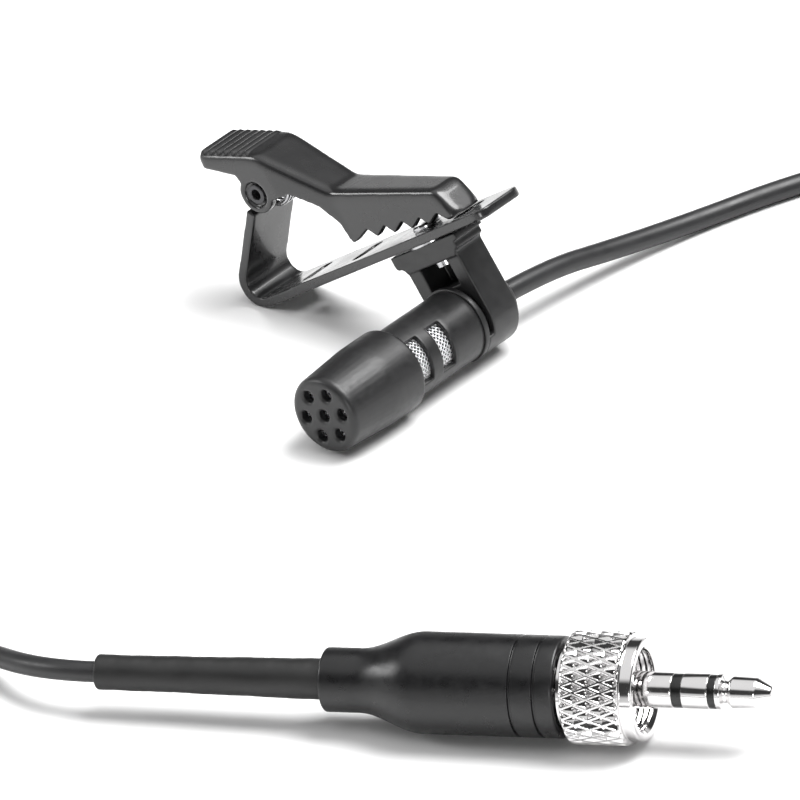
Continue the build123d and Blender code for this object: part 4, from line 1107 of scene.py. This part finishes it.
# ====================================================================== plug
@dataclass
class Plug:
    """Relief sleeve, barrel, knurled nut and jack on one axis, measured from the sleeve's rear."""

    axes: Axes
    cord_radius: float = 1.05
    sleeve_thin: float = 1.72
    sleeve_thick: float = 2.05
    sleeve_length: float = 25.0
    relief_end: float = 23.0
    barrel_end: float = 47.0
    barrel_rear_radius: float = 3.1
    barrel_radius: float = 4.9
    land: float = 3.4
    flare: float = 6.6
    barrel_bore: float = 4.0
    grooves: tuple[float, ...] = (42.7, 45.1)
    groove_half_width: float = 0.17
    groove_half_floor: float = 0.1
    groove_depth: float = 0.22
    relief_radius: float = 2.11
    nut_start: float = 47.8
    knurl_end: float = 53.7
    nut_end: float = 54.95
    nut_radius: float = 5.45
    collar_radius: float = 4.95
    nut_rear_wall: float = 1.3
    stem_hole: float = 3.25
    thread_radius: float = 3.9
    thread_lead_in: float = 0.35
    thread_pitch: float = 0.5
    thread_depth: float = 0.14
    knurl_fade: float = 0.3
    diamonds: int = 30
    rows: float = 2.15
    knurl_depth: float = 0.42
    knurl_points: int = 76
    thread_points: int = 42
    pit_floor: float = 0.12
    ridge_flat: float = 0.8
    jack_radius: float = 1.75
    jack_edge: float = 0.12
    sleeve_bore: float = 1.31
    seat_radius: float = 1.5
    seat_from_nut: float = 1.4
    seat_length: float = 6.4
    ring_bore: float = 0.71
    insulator_below: float = 0.09
    rear_insulator_bore: float = 1.01
    front_insulator_bore: float = 0.41
    sleeve_end: float = 57.85
    ring: tuple[float, float] = (58.8, 61.45)
    tip_start: float = 62.15
    tip_end: float = 67.55

    def relief(self) -> None:
        """Shrunk sleeve: a slow taper whose radius wavers a little along and round it."""
        bore, thin, end = self.cord_radius + 0.01, self.sleeve_thin, self.sleeve_length
        outline = rounded([(bore, 0, 0), (thin, 0, 0.3), (thin, 0.6, 0), (1.78, 8, 0), (2.02, 22.8, 0),
                           (self.sleeve_thick, end, 0), (bore, end, 0)])
        long_side = (outline[:, 0] > thin - 0.02) & (outline[:, 1] > 0.5)
        first, last = np.flatnonzero(long_side)[[0, -1]]
        along = np.linspace(outline[first, 1], outline[last, 1], 180)
        radius = np.interp(along, outline[first:last + 1, 1], outline[first:last + 1, 0])
        outline = np.vstack([outline[:first], np.stack([radius, along], -1), outline[last + 1:]])

        def waver(radius: np.ndarray, along: np.ndarray, angle: np.ndarray) -> np.ndarray:
            """Add slow waves along and round, which fade out at both ends.

            Args:
                radius: Radius at each point.
                along: Place along the plug.
                angle: Angle round it.

            Returns:
                The changed radius.
            """
            fade = np.clip(along / 2, 0, 1) * np.clip((end - along) / 3, 0, 1) * (radius > 1.5)
            wave = (0.010 * np.sin(1.9 * along + 2 * np.sin(angle)) + 0.013 * np.sin(0.83 * along - 3 * angle)
                    + 0.005 * np.sin(5.1 * along + angle))
            return radius + (wave - 0.03) * fade

        new_piece("relief_shrunk_sleeve", lathe(outline, 72, radius_of=waver), self.axes, RELIEF,
                  Body.MICROPHONE, ["relief_sleeve"])

    def barrel(self) -> None:
        """Barrel: land, a flare that follows a half cosine, and a side with two fine grooves."""
        start = self.relief_end
        flare_start, flare_end = start + self.land, start + self.land + self.flare
        share = np.linspace(0, 1, 40)
        ease = (1 - np.cos(math.pi * share)) / 2
        flare = np.stack([self.barrel_rear_radius + (self.barrel_radius - self.barrel_rear_radius) * ease,
                          flare_start + self.flare * share], -1)
        radius, floor = self.barrel_radius, self.barrel_radius - self.groove_depth
        side: list[tuple[float, float, float]] = [(radius, flare_end + 0.5, 0)]
        for middle in self.grooves:
            side += [(radius, middle - self.groove_half_width, 0.05),
                     (floor, middle - self.groove_half_floor, 0.04),
                     (floor, middle + self.groove_half_floor, 0.04),
                     (radius, middle + self.groove_half_width, 0.05)]
        side += [(radius, self.barrel_end, 0.25), (self.barrel_bore, self.barrel_end, 0.1),
                 (self.barrel_bore, flare_end, 0)]
        rear = rounded([(self.barrel_bore, flare_end, 0), (self.relief_radius, flare_start, 0),
                        (self.relief_radius, start, 0.1), (self.barrel_rear_radius, start, 0.3),
                        (self.barrel_rear_radius, flare_start, 0)], False)
        outline = np.vstack([rear[1:-1], flare, rounded(side, False)])
        new_piece("plug_barrel_turned", lathe(outline, 144), self.axes, BARREL, Body.MICROPHONE,
                  ["plug_barrel"], 30)

    def nut(self) -> None:
        """Knurled nut with its inner thread.

        The knurl's height is the greater of two triangle waves, one for each way that its ridges
        run, cut flat near the top, so that pits stand between the ridges; the thread is one
        triangle wave that climbs a pitch a turn.
        """
        stem_hole, thread_start = self.stem_hole, self.nut_start + self.nut_rear_wall
        collar = rounded([(self.nut_radius, self.nut_start, 0.3), (self.nut_radius, self.knurl_end, 0.3),
                          (self.collar_radius, self.knurl_end + 0.02, 0.1),
                          (self.collar_radius, self.nut_end, 0.25),
                          (self.thread_radius + self.thread_lead_in, self.nut_end, 0.1),
                          (self.thread_radius, self.nut_end - self.thread_lead_in, 0),
                          (self.thread_radius, thread_start, 0), (stem_hole, thread_start, 0.1),
                          (stem_hole, self.nut_start, 0.1)])
        knurl = (collar[:, 0] > self.nut_radius - 0.001) & (collar[:, 1] < self.knurl_end)
        first, last = np.flatnonzero(knurl)[[0, -1]]
        rows = np.linspace(collar[first, 1], collar[last, 1], self.knurl_points)
        outline = np.vstack([collar[:first], np.stack([0 * rows + self.nut_radius, rows], -1),
                             collar[last + 1:]])
        thread = np.flatnonzero(np.abs(outline[:, 0] - self.thread_radius) < 0.001)
        first, last = thread[0], thread[-1]
        inner = np.linspace(outline[first, 1], outline[last, 1], self.thread_points)
        outline = np.vstack([outline[:first], np.stack([0 * inner + self.thread_radius, inner], -1),
                             outline[last + 1:]])

        def cut(radius: np.ndarray, along: np.ndarray, angle: np.ndarray) -> np.ndarray:
            """Lower the knurl's grooves and raise the thread's ridges.

            Args:
                radius: Radius at each point.
                along: Place along the plug.
                angle: Angle round it.

            Returns:
                The changed radius.
            """
            step = (self.knurl_end - self.nut_start) / self.rows
            lap = self.diamonds * angle / (2 * math.pi)
            height = np.zeros_like(radius)
            for way in (1, -1):
                phase = np.mod(lap + way * (along - self.nut_start) / step, 1.0)
                height = np.maximum(height, np.abs(2 * phase - 1))
            height = np.clip((height - self.pit_floor) / (self.ridge_flat - self.pit_floor), 0, 1)
            ends = np.clip((along - self.nut_start) / self.knurl_fade, 0, 1)
            ends = ends * np.clip((self.knurl_end - along) / self.knurl_fade, 0, 1)
            outside = radius > self.nut_radius - 0.25
            radius = radius - np.where(outside, self.knurl_depth * (1 - height) * ends, 0)
            pitch = np.mod(along / self.thread_pitch - angle / (2 * math.pi), 1.0)
            inside = (np.abs(radius - self.thread_radius) < 0.001) & (along < self.nut_end - 0.4)
            return radius + np.where(inside, self.thread_depth * (1 - np.abs(2 * pitch - 1)), 0)

        new_piece("lock_nut_knurled", lathe(outline, self.diamonds * 16, radius_of=cut), self.axes, CHROME,
                  Body.LOCK_NUT, ["lock_nut"], 24)

    def jack_piece(self, name: str, node: str, outline: np.ndarray, finish: Finish,
                   closed: bool = True) -> None:
        """Turn one piece of the contact from its outline and let it stand for its node.

        Args:
            name: Name of the piece.
            node: The CAD node that it replaces.
            outline: (radius, along) points.
            finish: Its finish.
            closed: Whether the outline is a loop.
        """
        new_piece(name, lathe(outline, 96, closed=closed), self.axes, finish, Body.MICROPHONE, [node])

    def jack(self) -> None:
        """Sleeve, ring and tip of the contact with their insulators, each with turned edges."""
        r, edge = self.jack_radius, self.jack_edge
        seat = self.nut_end - self.seat_from_nut
        sleeve = rounded([(self.sleeve_bore, seat - self.seat_length, 0),
                          (self.seat_radius, seat - self.seat_length, 0), (self.seat_radius, seat, 0),
                          (r, seat, 0), (r, self.sleeve_end, edge), (self.sleeve_bore, self.sleeve_end, 0)])
        self.jack_piece("jack_sleeve_turned", "jack_sleeve", sleeve, CHROME)
        start, end = self.ring
        ring = rounded([(self.ring_bore, start, 0), (r, start, edge), (r, end, edge),
                        (self.ring_bore, end, 0)])
        self.jack_piece("jack_ring_turned", "jack_ring", ring, CHROME)
        inside = r - self.insulator_below
        for side, low, high, bore in (("rear", self.sleeve_end, start, self.rear_insulator_bore),
                                      ("front", end, self.tip_start, self.front_insulator_bore)):
            band = rounded([(bore, low, 0), (inside, low, 0.04), (inside, high, 0.04), (bore, high, 0)])
            self.jack_piece(f"insulator_{side}_turned", f"insulator_{side}", band, INSULATOR)
        collar, end = self.tip_start, self.tip_end
        tip = rounded([(0.02, collar, 0), (r, collar, 0.1), (r, collar + 0.5, edge),
                       (1.12, collar + 0.72, 0.1), (1.1, collar + 1.0, edge), (1.6, collar + 1.5, 0.35),
                       (1.5, end - 1.5, 0.6), (0.62, end, 0.3), (0.02, end, 0)], False)
        self.jack_piece("jack_tip_turned", "jack_tip", tip, CHROME, closed=False)

    def build(self) -> None:
        """Build and dress the plug."""
        self.relief()
        self.barrel()
        self.nut()
        self.jack()
        merged_piece("plug_stem_turned", "plug_stem", CHROME, Body.MICROPHONE)
        merged_piece("slip_ring_turned", "slip_ring", CHROME, Body.SLIP_RING)
        for node, finish in (("plug_cord_end", JACKET), ("plug_crimp", CAPSULE), ("solder_tags", TAG),
                             ("plug_leads", LEAD)):
            dress_node(node, finish)


PLUG_PIECES = ("relief_shrunk_sleeve", "plug_barrel_turned", "lock_nut_knurled", "jack_sleeve_turned",
               "jack_ring_turned", "insulator_rear_turned", "insulator_front_turned", "jack_tip_turned",
               "plug_stem_turned", "slip_ring_turned", "plug_cord_end", "plug_crimp", "solder_tags",
               "plug_leads", "coil_strap")


def main() -> None:
    """Build the scene in order and report each piece."""
    logging.basicConfig(level=logging.INFO, format="%(message)s")
    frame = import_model()
    Studio().build()
    clip = clip_axes(frame, SWIVEL_ALONG_JAW, SWIVEL_ACROSS_JAW)
    plug = plug_axes(frame, CONTACT_MIDDLE)
    slope = math.degrees(math.atan2(clip.turn[0][2], clip.turn[0][0]))
    Plug(plug).build()
    softened_piece("coil_strap", "cord_tie", Axes(np.zeros(3), *np.eye(3)), Softening(0.12, 3), STRAP,
                   Body.MICROPHONE)
    microphone = microphone_axes()
    Microphone(microphone).build(slope)
    Clip(clip).build()
    tail = np.array([microphone.origin[0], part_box("mic_tail")[1][1], microphone.origin[2]])
    Cord().build(tail, plug, PLUG_PIECES)


if __name__ == "__main__":
    main()
